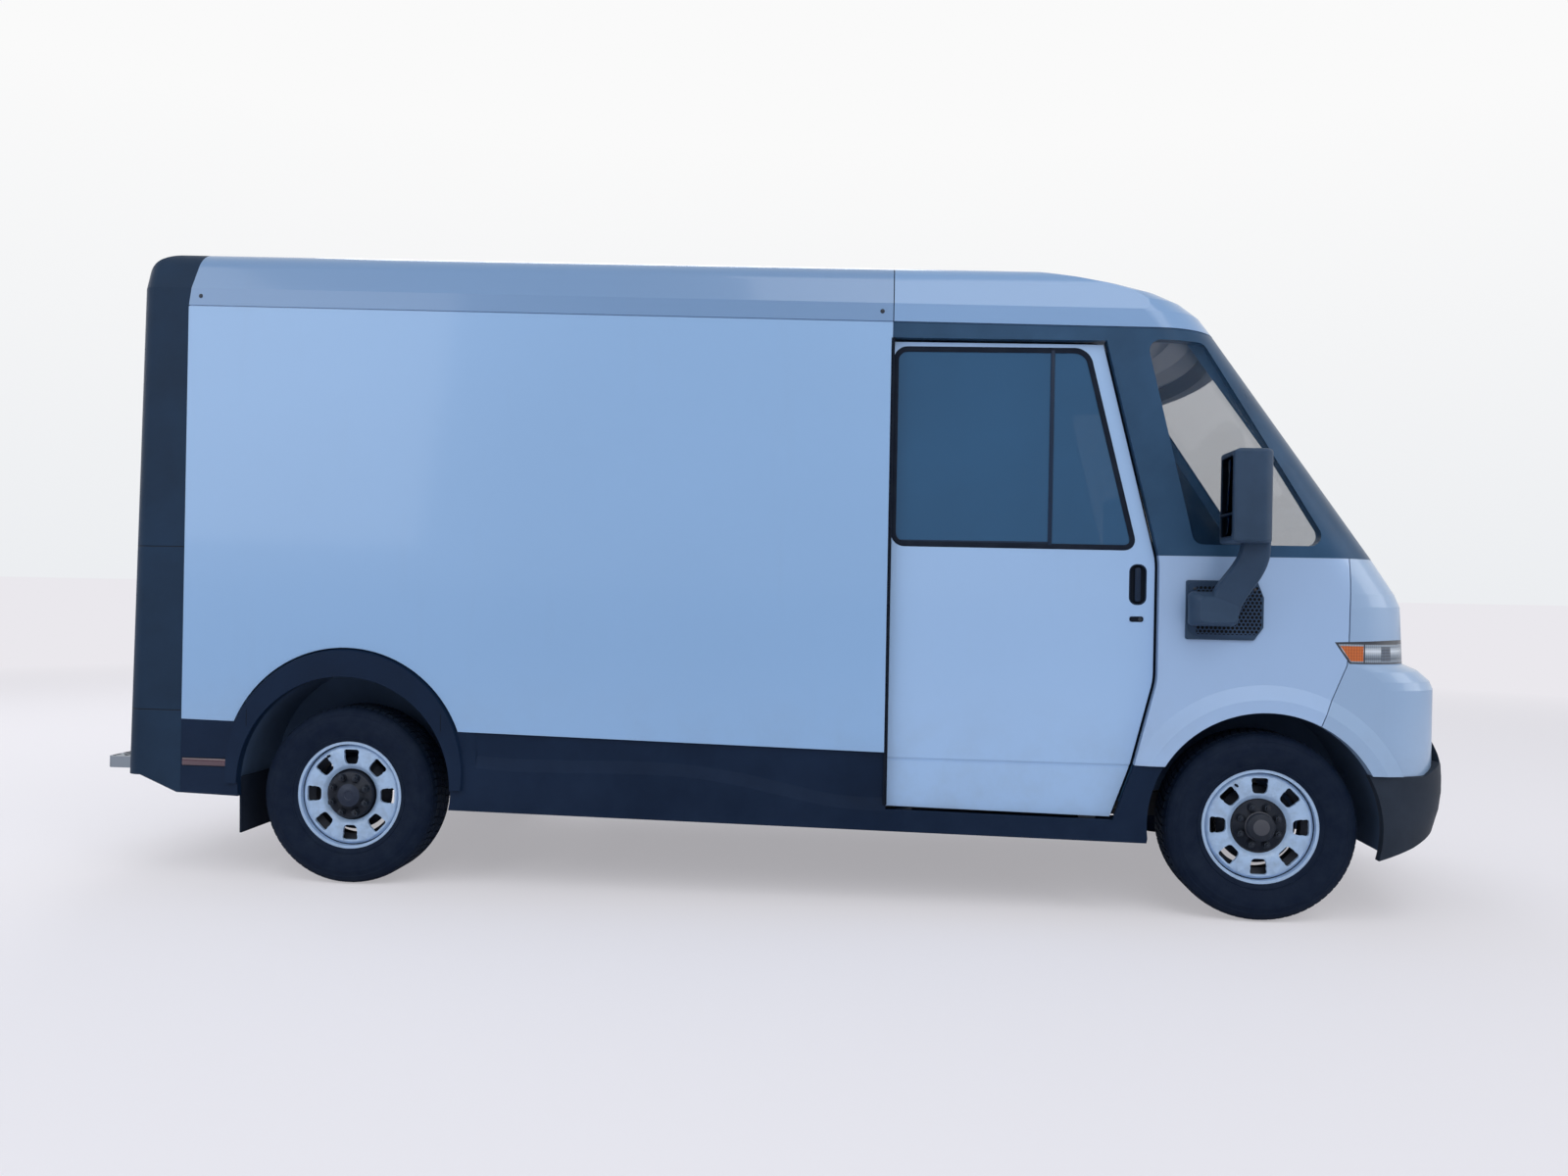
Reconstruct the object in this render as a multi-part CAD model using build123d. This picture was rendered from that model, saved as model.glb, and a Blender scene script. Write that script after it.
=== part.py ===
"""Electric step-in cargo van, built from separate named pieces.

Units are millimetres. X points forward, Y to the van's left and Z up. The pieces are laid out with X = 0 at the
rear axle and Z = 0 at the ground; write() then moves them so that the origin lies on the ground at mid length.
A side view's outline is drawn as (x, z) points, and a piece of one side is drawn on the right, at negative Y.
"""
import os
from math import atan2, cos, hypot, pi, radians, sin, sqrt

from build123d import *

# ---------------------------------------------------------------- driving dimensions
WHEELBASE = 3886
FRONT_OVERHANG = 909          # front axle to the bumper's nose
REAR_OVERHANG = 1160          # rear axle to the step's rear edge
HALF_WIDTH = 1040             # body side to centre line
PANEL_TOP_REAR = 2534         # top of the load-space side panel, at its rear edge
PANEL_TOP_FRONT = 2458        # the same line at the cab
PANEL_BOTTOM_REAR = 713       # bottom of the side panel, at its rear edge
PANEL_BOTTOM_FRONT = 658
ROCKER_REAR = 351             # lower edge of the sill, at the rear arch
ROCKER_FRONT = 318            # the same edge at the front arch
ROOF_RISE = 262               # roof crown above the panel's top line
BELT_Z = 1497                 # lower edge of the cab's glass
TYRE_RADIUS = 390
TYRE_WIDTH = 248
FLANGE_RADIUS = 235.5         # rim flange of a 17-inch wheel
RIM_WIDTH = 190
SIDEWALL_INSET = 35           # body side to the tyre's outer sidewall
STEER_ANGLE = 35

# walls
WALL = 108                    # load-space side wall, outer skin to inner liner
SKIN = 28                     # outer skin over the door pocket
LINER = 24                    # inner liner behind the door pocket
CAB_WALL = 40                 # fenders, fascia and bumper
FRAME_WALL = 60               # pillars and header round the glass
ROOF_WALL = 36
GLASS = 6
LINER_THICK = 10              # wheelhouses
DOOR_THICK = 40
BULKHEAD_THICK = 30
BULKHEAD_DOOR_THICK = 28
CARGO_FLOOR_THICK = 50
CAB_FLOOR_THICK = 40

# clearances
SEAT_GAP = 0.3                # between two pieces that seat on each other
SEAM_GAP = 4                  # open seam between two painted panels
PANEL_GAP = 12                # shut line round a door
REVEAL = 5                    # shadow groove under the roof rail
DOOR_RECESS = 36              # door face behind the body side
POCKET_PLAY = 8               # sliding door to pocket wall
POCKET_END_PLAY = 35          # open door's rear edge to the pocket's end
DOOR_TRAVEL = 950
RUNNER_PLAY = 0.5
HOUSE_PLAY = 33               # fully steered tyre to the wheelhouse's inner wall
RAIL_PLAY = 45                # wheelhouse to chassis rail
BALL_GAP = 0.5                # ball joint's seat to the knuckle
CUT = 20                      # how far a cutting shape reaches past what it cuts
ROOF_OVERRUN = 100            # the same for the roof's long section, whose ends lean

# stations along the van, from the rear axle
POST_X = -743                 # load-space panel's rear edge
REAR_FACE_X = -973            # rear surround's face, at its top
REAR_LEAN = 37                # how much further back the face stands at its foot
CAB_BACK_X = WHEELBASE - 1541
FRONT_X = WHEELBASE + FRONT_OVERHANG
BULKHEAD_X = CAB_BACK_X - 105
CAB_REAR_X = WHEELBASE - 2300  # rear end of the cab's plan outlines, inside the load space
ORIGIN_X = (FRONT_X - REAR_OVERHANG) / 2

# heights
CARGO_FLOOR_Z = 690
CAB_FLOOR_Z = 480
FENDER_BOTTOM_Z = 636
POCKET_TOP_Z = 2404
WALL_FOOT_Z = CARGO_FLOOR_Z - CARGO_FLOOR_THICK - 80
SKIRT_Z = 389                 # rear skirt's lower edge
SKIRT_REAR_Z = 461            # the same edge at the rear face
STEP_TOP_Z = 520

# wheel arches, as side-view circles
FRONT_ARCH_R = TYRE_RADIUS + 80
FRONT_ARCH_Z = TYRE_RADIUS + 6
REAR_ARCH_R = TYRE_RADIUS + 90
REAR_ARCH_Z = TYRE_RADIUS + 47
FLARE_R = REAR_ARCH_R + 63
FLARE_Z = REAR_ARCH_Z + 61
FLARE_PROUD = 14
SWELL_R = FRONT_ARCH_R + 112  # raised lip round the front arch, from its outer edge
SWELL_FLAT_R = FRONT_ARCH_R + 52
SWELL_PROUD = 15
HOUSE_PLAY_R = 20             # arch opening to wheelhouse
FRONT_HOUSE_R = FRONT_ARCH_R + 24

# running gear
WHEEL_Y = HALF_WIDTH - SIDEWALL_INSET - TYRE_WIDTH / 2
KINGPIN_INSET = 41            # wheel's centre plane to the kingpin
KINGPIN_Y = WHEEL_Y - KINGPIN_INSET
KINGPIN_LOW_Z = TYRE_RADIUS - 142
KINGPIN_HIGH_Z = TYRE_RADIUS + 142
STEER_SWEEP = TYRE_RADIUS * sin(radians(STEER_ANGLE)) + (TYRE_WIDTH / 2 - KINGPIN_INSET) * cos(radians(STEER_ANGLE))
HOUSE_INNER_Y = KINGPIN_Y - STEER_SWEEP - HOUSE_PLAY
REAR_HOUSE_INNER_Y = WHEEL_Y - TYRE_WIDTH / 2 - 107
RAIL_WIDTH = 70
RAIL_HEIGHT = 80
RAIL_Y = HOUSE_INNER_Y - RAIL_PLAY - RAIL_WIDTH / 2
SIDE_RAIL_Y = HALF_WIDTH - 310  # centre of the rails beside the battery
BATTERY_LENGTH = 2000
BATTERY_BOTTOM_Z = 335
STUB_RADIUS = 22
HUB_BORE = 22.5
STUB_REACH = 54               # stub axle beyond the wheel's centre plane

# the cab's outer form: a stack of plan outlines, each a straight side, a round corner and a slightly bowed front,
# given by its height and by how far its nose stands ahead of the front axle
NOSE_BOW = 2600
NOSE_CORNER = 280
BUMPER_CORNER = 310
SCREEN_TOP_Z = 2430
SCREEN_TOP_NOSE = -54
FASCIA_STATIONS = [
    (600, 866),
    (967, 866),
    (1000, 852),
    (1040, 806),
    (1066, 742),
    (1302, 729),
    (1354, 706),
    (BELT_Z, 611),
]
ROOF_STATIONS = [
    (SCREEN_TOP_Z, SCREEN_TOP_NOSE),
    (2500, -108),
    (2553, -178),
    (2592, -265),
    (2624, -385),
    (2654, -540),
    (2684, -730),
    (2712, -950),
    (2728, -1200),
    (2736, -1480),
]
BUMPER_STATIONS = [
    (270, 846),
    (386, 876),
    (470, 900),
    (540, FRONT_OVERHANG),
    (600, FRONT_OVERHANG),
    (653, 905),
    (781, 868),
]
GREENHOUSE_TOP_HALF = HALF_WIDTH - 6
GREENHOUSE_STATIONS = [(BELT_Z, FASCIA_STATIONS[-1][1]), (SCREEN_TOP_Z + 60, -97)]

# sliding door's outline
DOOR_Y = HALF_WIDTH - DOOR_RECESS
DOOR_REAR_X = CAB_BACK_X - 10
DOOR_TOP_REAR_Z = 2379
DOOR_TOP_FRONT_Z = 2366
DOOR_BOTTOM_REAR_Z = 431
DOOR_BOTTOM_FRONT_Z = 417
DOOR_FRONT_TOP = WHEELBASE - 673
DOOR_FRONT_BELT = WHEELBASE - 449
DOOR_FRONT_KNEE = WHEELBASE - FRONT_ARCH_R - 66
DOOR_FRONT_FOOT = WHEELBASE - FRONT_ARCH_R - 144
DOOR_KNEE_Z = 635
DOOR_HIP_Z = 985
DOOR_BELT_Z = 1478
DOOR_CURVE = 260              # radius that blends the door's front edge
POCKET_X = DOOR_REAR_X - DOOR_TRAVEL - POCKET_END_PLAY
WINDOW_SILL_Z = 1530
WINDOW_CORNER = 50
WINDOW_REAR = 24              # door's rear edge to its window
WINDOW_PILLAR = 66            # the same at the front
WINDOW_TOP = 14
DIVIDER_X = WHEELBASE - 877
CREASE_Z = 628                # pressed line across the door's foot

# roof cross-section
CAP_BAND = 75                 # flat rail above the side panel
CAP_LEAN = 52                 # roof edge drawn in from the body side
CAP_ROUND = 105
ROOF_CROWN = 16
SURROUND_LEAN = 45            # how far the rear surround's edge leans forward above the panel
SURROUND_ROUND = 70           # its upright corners
SURROUND_BROW = 170           # its upper rear corner, seen from the side
SURROUND_WALL = 92
SURROUND_POST = 125           # post width beside the rear opening
REAR_OPENING_TOP = 2330
VALANCE_DEPTH = 60
THRESHOLD = 6                 # seat of the roll door, below the load floor

# doorway behind the cab
DOORWAY_HALF = 330
DOORWAY_TOP = 2350
DOORWAY_LAP = 22              # inner door past the doorway's edge

# cladding
COVE_DEPTH = 12
COVE_SHELF = 58               # height of the sloping shelf under the cove
SILL_INNER_Y = HALF_WIDTH - 160
SILL_TOP_CLEAR = 9
RUNNER_Z = DOOR_BOTTOM_FRONT_Z - 17

# front end
LAMP_POINTS = [(259, 1158), (500, 1168), (900, 1168), (900, 1072), (318, 1072)]
LAMP_INNER_Y = HALF_WIDTH - 480
SEAM_X = WHEELBASE + 319
BUMPER_SIDE_TOP = 622
BUMPER_NOSE_TOP = 778
LINER_FOOT_Z = TYRE_RADIUS - 90  # front wheelhouse, ahead of the wheel
INTAKE_SLOTS = 4
INTAKE_WIDTH = 980
INTAKE_SLOT = 22
INTAKE_PITCH = 34
INTAKE_Z = 560
SCREEN_BAND = 36
SCREEN_SIDE = HALF_WIDTH - 340
SCREEN_CORNER = 70
QUARTER_POINTS = [(-300, 1545), (235, 1545), (-265, 2375), (-505, 2385)]

# cab fittings
TOE_HALF = HOUSE_INNER_Y - 53  # half width of the footwell between the front wheels
DASH_HALF = HALF_WIDTH - 160
DRIVER_Y = 430
COLUMN_TILT = 32              # column above the horizontal
COLUMN_RADIUS = 34
RIM_RADIUS = 195              # steering wheel
RIM_BAR = 14
WHEEL_CENTRE = (WHEELBASE - 215, 1235)
SEAT_X = WHEELBASE - 900
SEAT_PAN_Z = 820
SEAT_BACK_TOP = 1500
HEADREST_Z = 1545


# ---------------------------------------------------------------- helpers
def write(shape, node):
    """Move a piece into the van's own frame and write it as parts/NODE.step."""
    export_step(Pos(-ORIGIN_X, 0, 0) * shape, f"parts/{node}.step")


def block(x0, x1, y0, y1, z0, z1):
    """A box between two corners."""
    return Pos((x0 + x1) / 2, (y0 + y1) / 2, (z0 + z1) / 2) * Box(abs(x1 - x0), abs(y1 - y0), abs(z1 - z0))


def side_face(points):
    """A side-view polygon on the centre plane."""
    return make_face(Polyline([(x, 0, z) for x, z in points], close=True))


def across(face, y0, y1):
    """Extrude a side-view face from y0 to y1."""
    return extrude(Pos(0, y0, 0) * face, amount=y1 - y0, dir=(0, 1, 0))


def slab(points, y0, y1):
    """A side-view polygon extruded across the van."""
    return across(side_face(points), y0, y1)


def height(edge, x):
    """Height at x of an edge that is either a plain height or a line along the van."""
    return edge(x) if callable(edge) else edge


def strip(x0, x1, low, high, y0, y1):
    """A plate between two stations, with straight lower and upper edges."""
    return slab([
        (x0, height(low, x0)),
        (x1, height(low, x1)),
        (x1, height(high, x1)),
        (x0, height(high, x0)),
    ], y0, y1)


def disc(x, z, radius, y0, y1):
    """A cylinder whose axis lies across the van."""
    return Pos(x, (y0 + y1) / 2, z) * Rot(90, 0, 0) * Cylinder(radius, abs(y1 - y0))


def rounded(face, radius):
    """Round every corner of a flat face."""
    return fillet(face.vertices(), radius)


def tube(start, end, radius):
    """A straight round bar between two points."""
    a = Vector(*start)
    b = Vector(*end)
    return extrude(Plane(origin=a, z_dir=b - a) * Circle(radius), (b - a).length)


def other_side(shape):
    """The mirror image on the van's other side."""
    return mirror(shape, about=Plane.XZ)


def both_sides(shape):
    """A piece and its mirror image as one shape."""
    return shape + other_side(shape)


def line_z(x, x0, z0, x1, z1):
    """Height at x of the straight line through (x0, z0) and (x1, z1)."""
    return z0 + (z1 - z0) * (x - x0) / (x1 - x0)


def roof_line(x):
    """Height of the panel's top edge, carried on over the cab."""
    return line_z(x, POST_X, PANEL_TOP_REAR, CAB_BACK_X, PANEL_TOP_FRONT)


def panel_bottom(x):
    """Height of the side panel's lower edge."""
    return line_z(x, POST_X, PANEL_BOTTOM_REAR, CAB_BACK_X, PANEL_BOTTOM_FRONT)


def rocker(x):
    """Height of the sill's lower edge."""
    return line_z(x, REAR_ARCH_R, ROCKER_REAR, WHEELBASE - FRONT_ARCH_R, ROCKER_FRONT)


def rear_face(z):
    """X of the rear surround's leaning face."""
    return line_z(z, PANEL_TOP_REAR, REAR_FACE_X, SKIRT_REAR_Z, REAR_FACE_X - REAR_LEAN)


def arch_chord(z):
    """Half the front arch's opening at a height."""
    return sqrt(FRONT_ARCH_R ** 2 - (z - FRONT_ARCH_Z) ** 2)


# ---------------------------------------------------------------- cab form
def nose_outline(nose, half_width, corner, bow, z):
    """A plan outline: straight sides, round corners and a bowed front whose middle is at x = nose."""
    centre = nose - bow
    reach = sqrt((bow - corner) ** 2 - (half_width - corner) ** 2)
    corner_x = centre + reach
    turn = atan2(half_width - corner, reach)
    meet = (centre + bow * cos(turn), bow * sin(turn))
    half = (pi / 2 + turn) / 2
    corner_mid = (corner_x + corner * cos(half), half_width - corner + corner * sin(half))
    edges = [
        Line((CAB_REAR_X, -half_width, z), (corner_x, -half_width, z)),
        ThreePointArc((corner_x, -half_width, z), (corner_mid[0], -corner_mid[1], z), (meet[0], -meet[1], z)),
        ThreePointArc((meet[0], -meet[1], z), (nose, 0, z), (meet[0], meet[1], z)),
        ThreePointArc((meet[0], meet[1], z), (corner_mid[0], corner_mid[1], z), (corner_x, half_width, z)),
        Line((corner_x, half_width, z), (CAB_REAR_X, half_width, z)),
        Line((CAB_REAR_X, half_width, z), (CAB_REAR_X, -half_width, z)),
    ]
    return make_face(edges)


def nose_volume(stations, inset=0, corner=NOSE_CORNER, top_half_width=HALF_WIDTH):
    """The solid inside a stack of plan outlines, drawn in by a wall thickness."""
    first = stations[0][0]
    last = stations[-1][0]
    outlines = []
    for z, nose in stations:
        half_width = line_z(z, first, HALF_WIDTH, last, top_half_width) - inset
        outlines.append(nose_outline(WHEELBASE + nose - inset, half_width, corner - inset, NOSE_BOW - inset, z))
    return loft(outlines, ruled=True)


def nose_shell(stations, wall, corner=NOSE_CORNER, top_half_width=HALF_WIDTH):
    """A wall of even thickness that follows a stack of plan outlines, open at top and bottom."""
    outer = nose_volume(stations, 0, corner, top_half_width)
    inner = nose_volume(stations, wall, corner, top_half_width)
    return outer - inner


def door_face(grow=0):
    """The door's side view; its front edge follows the windscreen pillar, then curves in above the wheel."""
    face = side_face([
        (DOOR_REAR_X, DOOR_BOTTOM_REAR_Z),
        (DOOR_FRONT_FOOT, DOOR_BOTTOM_FRONT_Z),
        (DOOR_FRONT_KNEE, DOOR_KNEE_Z),
        (DOOR_FRONT_BELT, DOOR_HIP_Z),
        (DOOR_FRONT_BELT, DOOR_BELT_Z),
        (DOOR_FRONT_TOP, DOOR_TOP_FRONT_Z),
        (DOOR_REAR_X, DOOR_TOP_REAR_Z),
    ])
    bends = [v for v in face.vertices() if abs(v.X - DOOR_FRONT_BELT) < 1]
    face = fillet(bends, DOOR_CURVE)
    if grow:
        face = offset(face, amount=grow, kind=Kind.INTERSECTION)
    return face


def window_face(shrink=0):
    """The door window's side view, its front edge parallel to the door's."""
    slope = (DOOR_FRONT_TOP - DOOR_FRONT_BELT) / (DOOR_TOP_FRONT_Z - DOOR_BELT_Z)
    front_low = DOOR_FRONT_BELT + slope * (WINDOW_SILL_Z - DOOR_BELT_Z) - WINDOW_PILLAR
    front_high = DOOR_FRONT_TOP - WINDOW_PILLAR
    top = DOOR_TOP_FRONT_Z - WINDOW_TOP
    face = rounded(side_face([
        (DOOR_REAR_X + WINDOW_REAR, WINDOW_SILL_Z),
        (front_low, WINDOW_SILL_Z - 4),
        (front_high, top - 8),
        (DOOR_REAR_X + WINDOW_REAR, top),
    ]), WINDOW_CORNER)
    if shrink:
        face = offset(face, amount=-shrink, kind=Kind.INTERSECTION)
    return face


def roof_section(inset=0, depth=0):
    """The body's upper cross-section: a flat rail, a leaning cap with a round shoulder and a low crown."""
    half = HALF_WIDTH - inset
    top = ROOF_RISE - ROOF_CROWN - inset
    lean = half - CAP_LEAN
    edges = [
        Line((-half, -depth), (-half, CAP_BAND)),
        Line((-half, CAP_BAND), (-lean, top)),
        ThreePointArc((-lean, top), (0, top + ROOF_CROWN), (lean, top)),
        Line((lean, top), (half, CAP_BAND)),
        Line((half, CAP_BAND), (half, -depth)),
        Line((half, -depth), (-half, -depth)),
    ]
    face = make_face(edges)
    shoulders = [v for v in face.vertices() if abs(v.Y - top) < 1]
    return fillet(shoulders, CAP_ROUND - inset)


def along_roof(x0, x1, inset=0, depth=0):
    """The upper cross-section carried along the roof line, a little past both stations."""
    start = x0 - ROOF_OVERRUN
    length = x1 + ROOF_OVERRUN - start
    drop = roof_line(start + length) - roof_line(start)
    square = Plane(origin=(start, 0, roof_line(start)), x_dir=(0, 1, 0), z_dir=(length, 0, drop))
    return extrude(square * roof_section(inset, depth), hypot(length, drop))


def roof_space(x0, x1):
    """All the room above the panel's top line between two upright planes."""
    wide = HALF_WIDTH + CUT
    return strip(x0, x1, lambda x: roof_line(x) + SEAT_GAP, lambda x: roof_line(x) + 2 * ROOF_RISE, -wide, wide)


# ---------------------------------------------------------------- load space
def cargo_side():
    """Right side wall with the sliding door's pocket at its front end and the rear wheel arch."""
    y_out = -HALF_WIDTH
    y_skin = -(HALF_WIDTH - SKIN)
    y_in = -(HALF_WIDTH - WALL)
    skin = strip(POST_X, CAB_BACK_X, panel_bottom, roof_line, y_out, y_skin)
    skin -= disc(0, FLARE_Z, FLARE_R + 1, y_out - CUT, y_skin + CUT)
    skin -= Pos(0, 0, -REVEAL) * strip(
        POST_X - CUT, CAB_BACK_X + CUT, roof_line, lambda x: roof_line(x) + CUT, y_out - CUT, y_out + REVEAL
    )
    liner = strip(POST_X, CAB_BACK_X, WALL_FOOT_Z, roof_line, y_skin, y_in)
    house = REAR_ARCH_R + HOUSE_PLAY_R + LINER_THICK + SEAT_GAP
    liner -= disc(0, REAR_ARCH_Z, house, y_skin - CUT, y_in + CUT)
    pocket = block(POCKET_X, CAB_BACK_X + CUT, y_skin, y_in - LINER, WALL_FOOT_Z - CUT, POCKET_TOP_Z)
    return skin + liner - pocket


def surround_region(gap=0):
    """Everything behind the rear surround's front edge."""
    far = REAR_FACE_X - 400
    high = PANEL_TOP_REAR + ROOF_RISE + 40
    return slab([
        (far, 0),
        (POST_X + gap, 0),
        (POST_X + gap, PANEL_TOP_REAR),
        (POST_X + SURROUND_LEAN + gap, high),
        (far, high),
    ], -HALF_WIDTH - CUT, HALF_WIDTH + CUT)


def cargo_roof():
    """Roof cap of the load space: rails, round shoulders and crowned skin, hollow below."""
    rear = POST_X - CUT
    shell = along_roof(rear, CAB_BACK_X) - along_roof(rear, CAB_BACK_X, ROOF_WALL, CUT)
    return (shell & roof_space(rear, CAB_BACK_X)) - surround_region(SEAT_GAP)


def surround_outline(inset=0):
    """Side view of the rear surround: a leaning face and a round brow."""
    top = PANEL_TOP_REAR + ROOF_RISE
    corner = (rear_face(top), top - 46)
    face = side_face([
        (rear_face(0), 0),
        corner,
        (POST_X + 20, top + 12),
        (POST_X + 300, top + 12),
        (POST_X + 300, 0),
    ])
    brow = [v for v in face.vertices() if abs(v.X - corner[0]) < 1 and abs(v.Z - corner[1]) < 1]
    face = fillet(brow, SURROUND_BROW)
    if inset:
        face = offset(face, amount=-inset, kind=Kind.INTERSECTION)
    return face


def tail_lamp_body(gap=0):
    """Right tail lamp's body, flush in the surround's face and grown by a gap."""
    y0 = -(HALF_WIDTH - 74) - gap
    y1 = -(HALF_WIDTH - 120) + gap
    low = 1150
    high = 1520
    return slab([
        (rear_face(low) - 2, low - gap),
        (REAR_FACE_X + 40 + gap, low - gap),
        (REAR_FACE_X + 40 + gap, high + gap),
        (rear_face(high) - 2, high + gap),
    ], y0, y1)


def tail_lamps():
    """Upright lamp on each rear post."""
    return both_sides(tail_lamp_body())


def rear_surround():
    """Dark rear frame: corner posts, header and sill round the load opening."""
    wide = HALF_WIDTH + CUT
    foot = PANEL_TOP_REAR - SKIRT_Z + CUT
    back = REAR_FACE_X - REAR_LEAN - CUT
    outer = along_roof(back, POST_X + SURROUND_LEAN, 0, foot)
    outer -= slab([
        (back - 2 * ROOF_OVERRUN, 0), (rear_face(0), 0), (rear_face(3000), 3000), (back - 2 * ROOF_OVERRUN, 3000),
    ], -wide, wide)
    face = outer.faces().sort_by(Axis.X)[0]
    outer = fillet([e for e in face.edges() if e.center().Z > SKIRT_REAR_Z], SURROUND_ROUND)
    outer &= across(surround_outline(), -wide, wide)
    hollow_x = REAR_FACE_X + VALANCE_DEPTH
    inner = along_roof(hollow_x, POST_X + SURROUND_LEAN, SURROUND_WALL, foot + CUT)
    inner &= across(surround_outline(VALANCE_DEPTH), -wide, wide)
    inner -= block(back - 2 * ROOF_OVERRUN, hollow_x, -wide, wide, 0, 3000)
    half_open = HALF_WIDTH - SURROUND_POST
    opening = block(back - CUT, hollow_x + CUT, -half_open, half_open, CARGO_FLOOR_Z - 60, REAR_OPENING_TOP)
    under = slab([
        (back - CUT, 0),
        (POST_X + 100, 0),
        (POST_X + 100, SKIRT_Z),
        (POST_X - 17, SKIRT_Z),
        (REAR_FACE_X + 42, SKIRT_REAR_Z),
        (back - CUT, SKIRT_REAR_Z),
    ], -wide, wide)
    liner = HALF_WIDTH - WALL
    skirt = block(hollow_x, POST_X + 100, -liner, liner, 0, CARGO_FLOOR_Z - 60)
    ring = (outer - inner - opening - under) & surround_region(-SEAT_GAP)
    return ring - skirt - both_sides(tail_lamp_body(SEAT_GAP))


def rear_roll_door():
    """Slatted roll-up door, drawn closed, standing in the floor's threshold behind the posts."""
    half = HALF_WIDTH - SURROUND_WALL - POCKET_PLAY
    slat_face = REAR_FACE_X + VALANCE_DEPTH + SEAT_GAP
    slats = 11
    relief = 6
    thick = 20
    foot = CARGO_FLOOR_Z - THRESHOLD + SEAT_GAP
    top = REAR_OPENING_TOP + 30
    pitch = (top - foot) / slats
    door = block(slat_face + relief, slat_face + thick, -half, half, foot, top)
    for i in range(slats):
        low = foot + i * pitch
        door += slab([
            (slat_face + relief, low),
            (slat_face + relief, low + pitch),
            (slat_face, low + pitch - 2 * relief),
            (slat_face, low + 2 * relief),
        ], -half, half)
    grip_z = foot + 0.5 * pitch
    return door + block(slat_face - 16, slat_face + 1, -110, 110, grip_z, grip_z + 26)


def floor():
    """Load floor, riser and the lower cab floor with its toe board, in one folded sheet."""
    half = HALF_WIDTH - WALL - SEAT_GAP
    rear = REAR_FACE_X + VALANCE_DEPTH + 2
    load = block(rear, BULKHEAD_X - SEAT_GAP, -half, half, CARGO_FLOOR_Z - CARGO_FLOOR_THICK, CARGO_FLOOR_Z)
    load -= block(rear - CUT, rear + 24, -half - CUT, half + CUT, CARGO_FLOOR_Z - THRESHOLD, CARGO_FLOOR_Z + CUT)
    house = REAR_ARCH_R + HOUSE_PLAY_R + LINER_THICK + SEAT_GAP
    for side in (-1, 1):
        load -= disc(0, REAR_ARCH_Z, house, side * (REAR_HOUSE_INNER_Y - SEAT_GAP), side * HALF_WIDTH)
    low = CAB_FLOOR_Z - CAB_FLOOR_THICK
    riser_x = BULKHEAD_X - 40
    riser = block(riser_x, BULKHEAD_X - SEAT_GAP, -half, half, low, CARGO_FLOOR_Z)
    cab_half = HALF_WIDTH - DOOR_RECESS - DOOR_THICK - POCKET_PLAY - 4
    well_front = WHEELBASE - FRONT_ARCH_R - 60
    cab = block(riser_x, well_front, -cab_half, cab_half, low, CAB_FLOOR_Z)
    toe = slab([
        (well_front - 1, low),
        (WHEELBASE + 40, low),
        (WHEELBASE + 330, low + 380),
        (WHEELBASE + 330, low + 430),
        (WHEELBASE + 20, CAB_FLOOR_Z),
        (well_front - 1, CAB_FLOOR_Z),
    ], -TOE_HALF, TOE_HALF)
    return load + riser + cab + toe


def bulkhead():
    """Partition behind the cab with the doorway in its middle and the inner door's track above it."""
    half = HALF_WIDTH - WALL - SEAT_GAP
    front = BULKHEAD_X + BULKHEAD_THICK
    panel = block(BULKHEAD_X, front, -half, half, CAB_FLOOR_Z + SEAT_GAP, roof_line(BULKHEAD_X) + 60)
    panel -= block(BULKHEAD_X - CUT, front + CUT, -DOORWAY_HALF, DOORWAY_HALF, CARGO_FLOOR_Z, DOORWAY_TOP)
    track_z = DOORWAY_TOP + DOORWAY_LAP + 2 * SEAT_GAP
    track_x = BULKHEAD_X - POCKET_PLAY - BULKHEAD_DOOR_THICK - 4
    return panel + block(track_x, BULKHEAD_X + 1, -DOORWAY_HALF - 30, half - 20, track_z, track_z + 26)


def bulkhead_door():
    """Inner sliding door, hung on the load side of the partition."""
    front = BULKHEAD_X - POCKET_PLAY
    half = DOORWAY_HALF + DOORWAY_LAP
    return block(front - BULKHEAD_DOOR_THICK, front, -half, half, CARGO_FLOOR_Z + 8, DOORWAY_TOP + DOORWAY_LAP)


# ---------------------------------------------------------------- cladding and step
def cove_face(y, drop):
    """Side view of the sill's cove at y: an S-curve that falls towards the door, let down by a drop."""
    start = REAR_ARCH_R + 110
    top = PANEL_BOTTOM_REAR + 40
    curve = Spline(
        (start, y, 590 - drop),
        (1029, y, 582 - drop),
        (1574, y, 574 - drop),
        (1830, y, 534 - drop),
        (2123, y, 478 - drop),
        (CAB_BACK_X + 6, y, 470 - drop),
    )
    return make_face([
        curve,
        Line((CAB_BACK_X + 6, y, 470 - drop), (CAB_BACK_X + 6, y, top)),
        Line((CAB_BACK_X + 6, y, top), (start - drop, y, top)),
        Line((start - drop, y, top), (start, y, 590 - drop)),
    ])


def wheel_flare():
    """Raised arch round the rear wheel opening, with a wide chamfered face."""
    y_out = -HALF_WIDTH
    flare = disc(0, FLARE_Z, FLARE_R, y_out - FLARE_PROUD, y_out + SKIN)
    flare -= block(-800, 800, y_out - CUT - FLARE_PROUD, y_out + SKIN + CUT, -200, FLARE_Z - 60)
    rims = flare.edges().filter_by(GeomType.CIRCLE)
    bow = [e for e in rims if abs(e.center().Y - (y_out - FLARE_PROUD)) < 1]
    return chamfer(bow, 34, FLARE_PROUD - 2)


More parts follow.
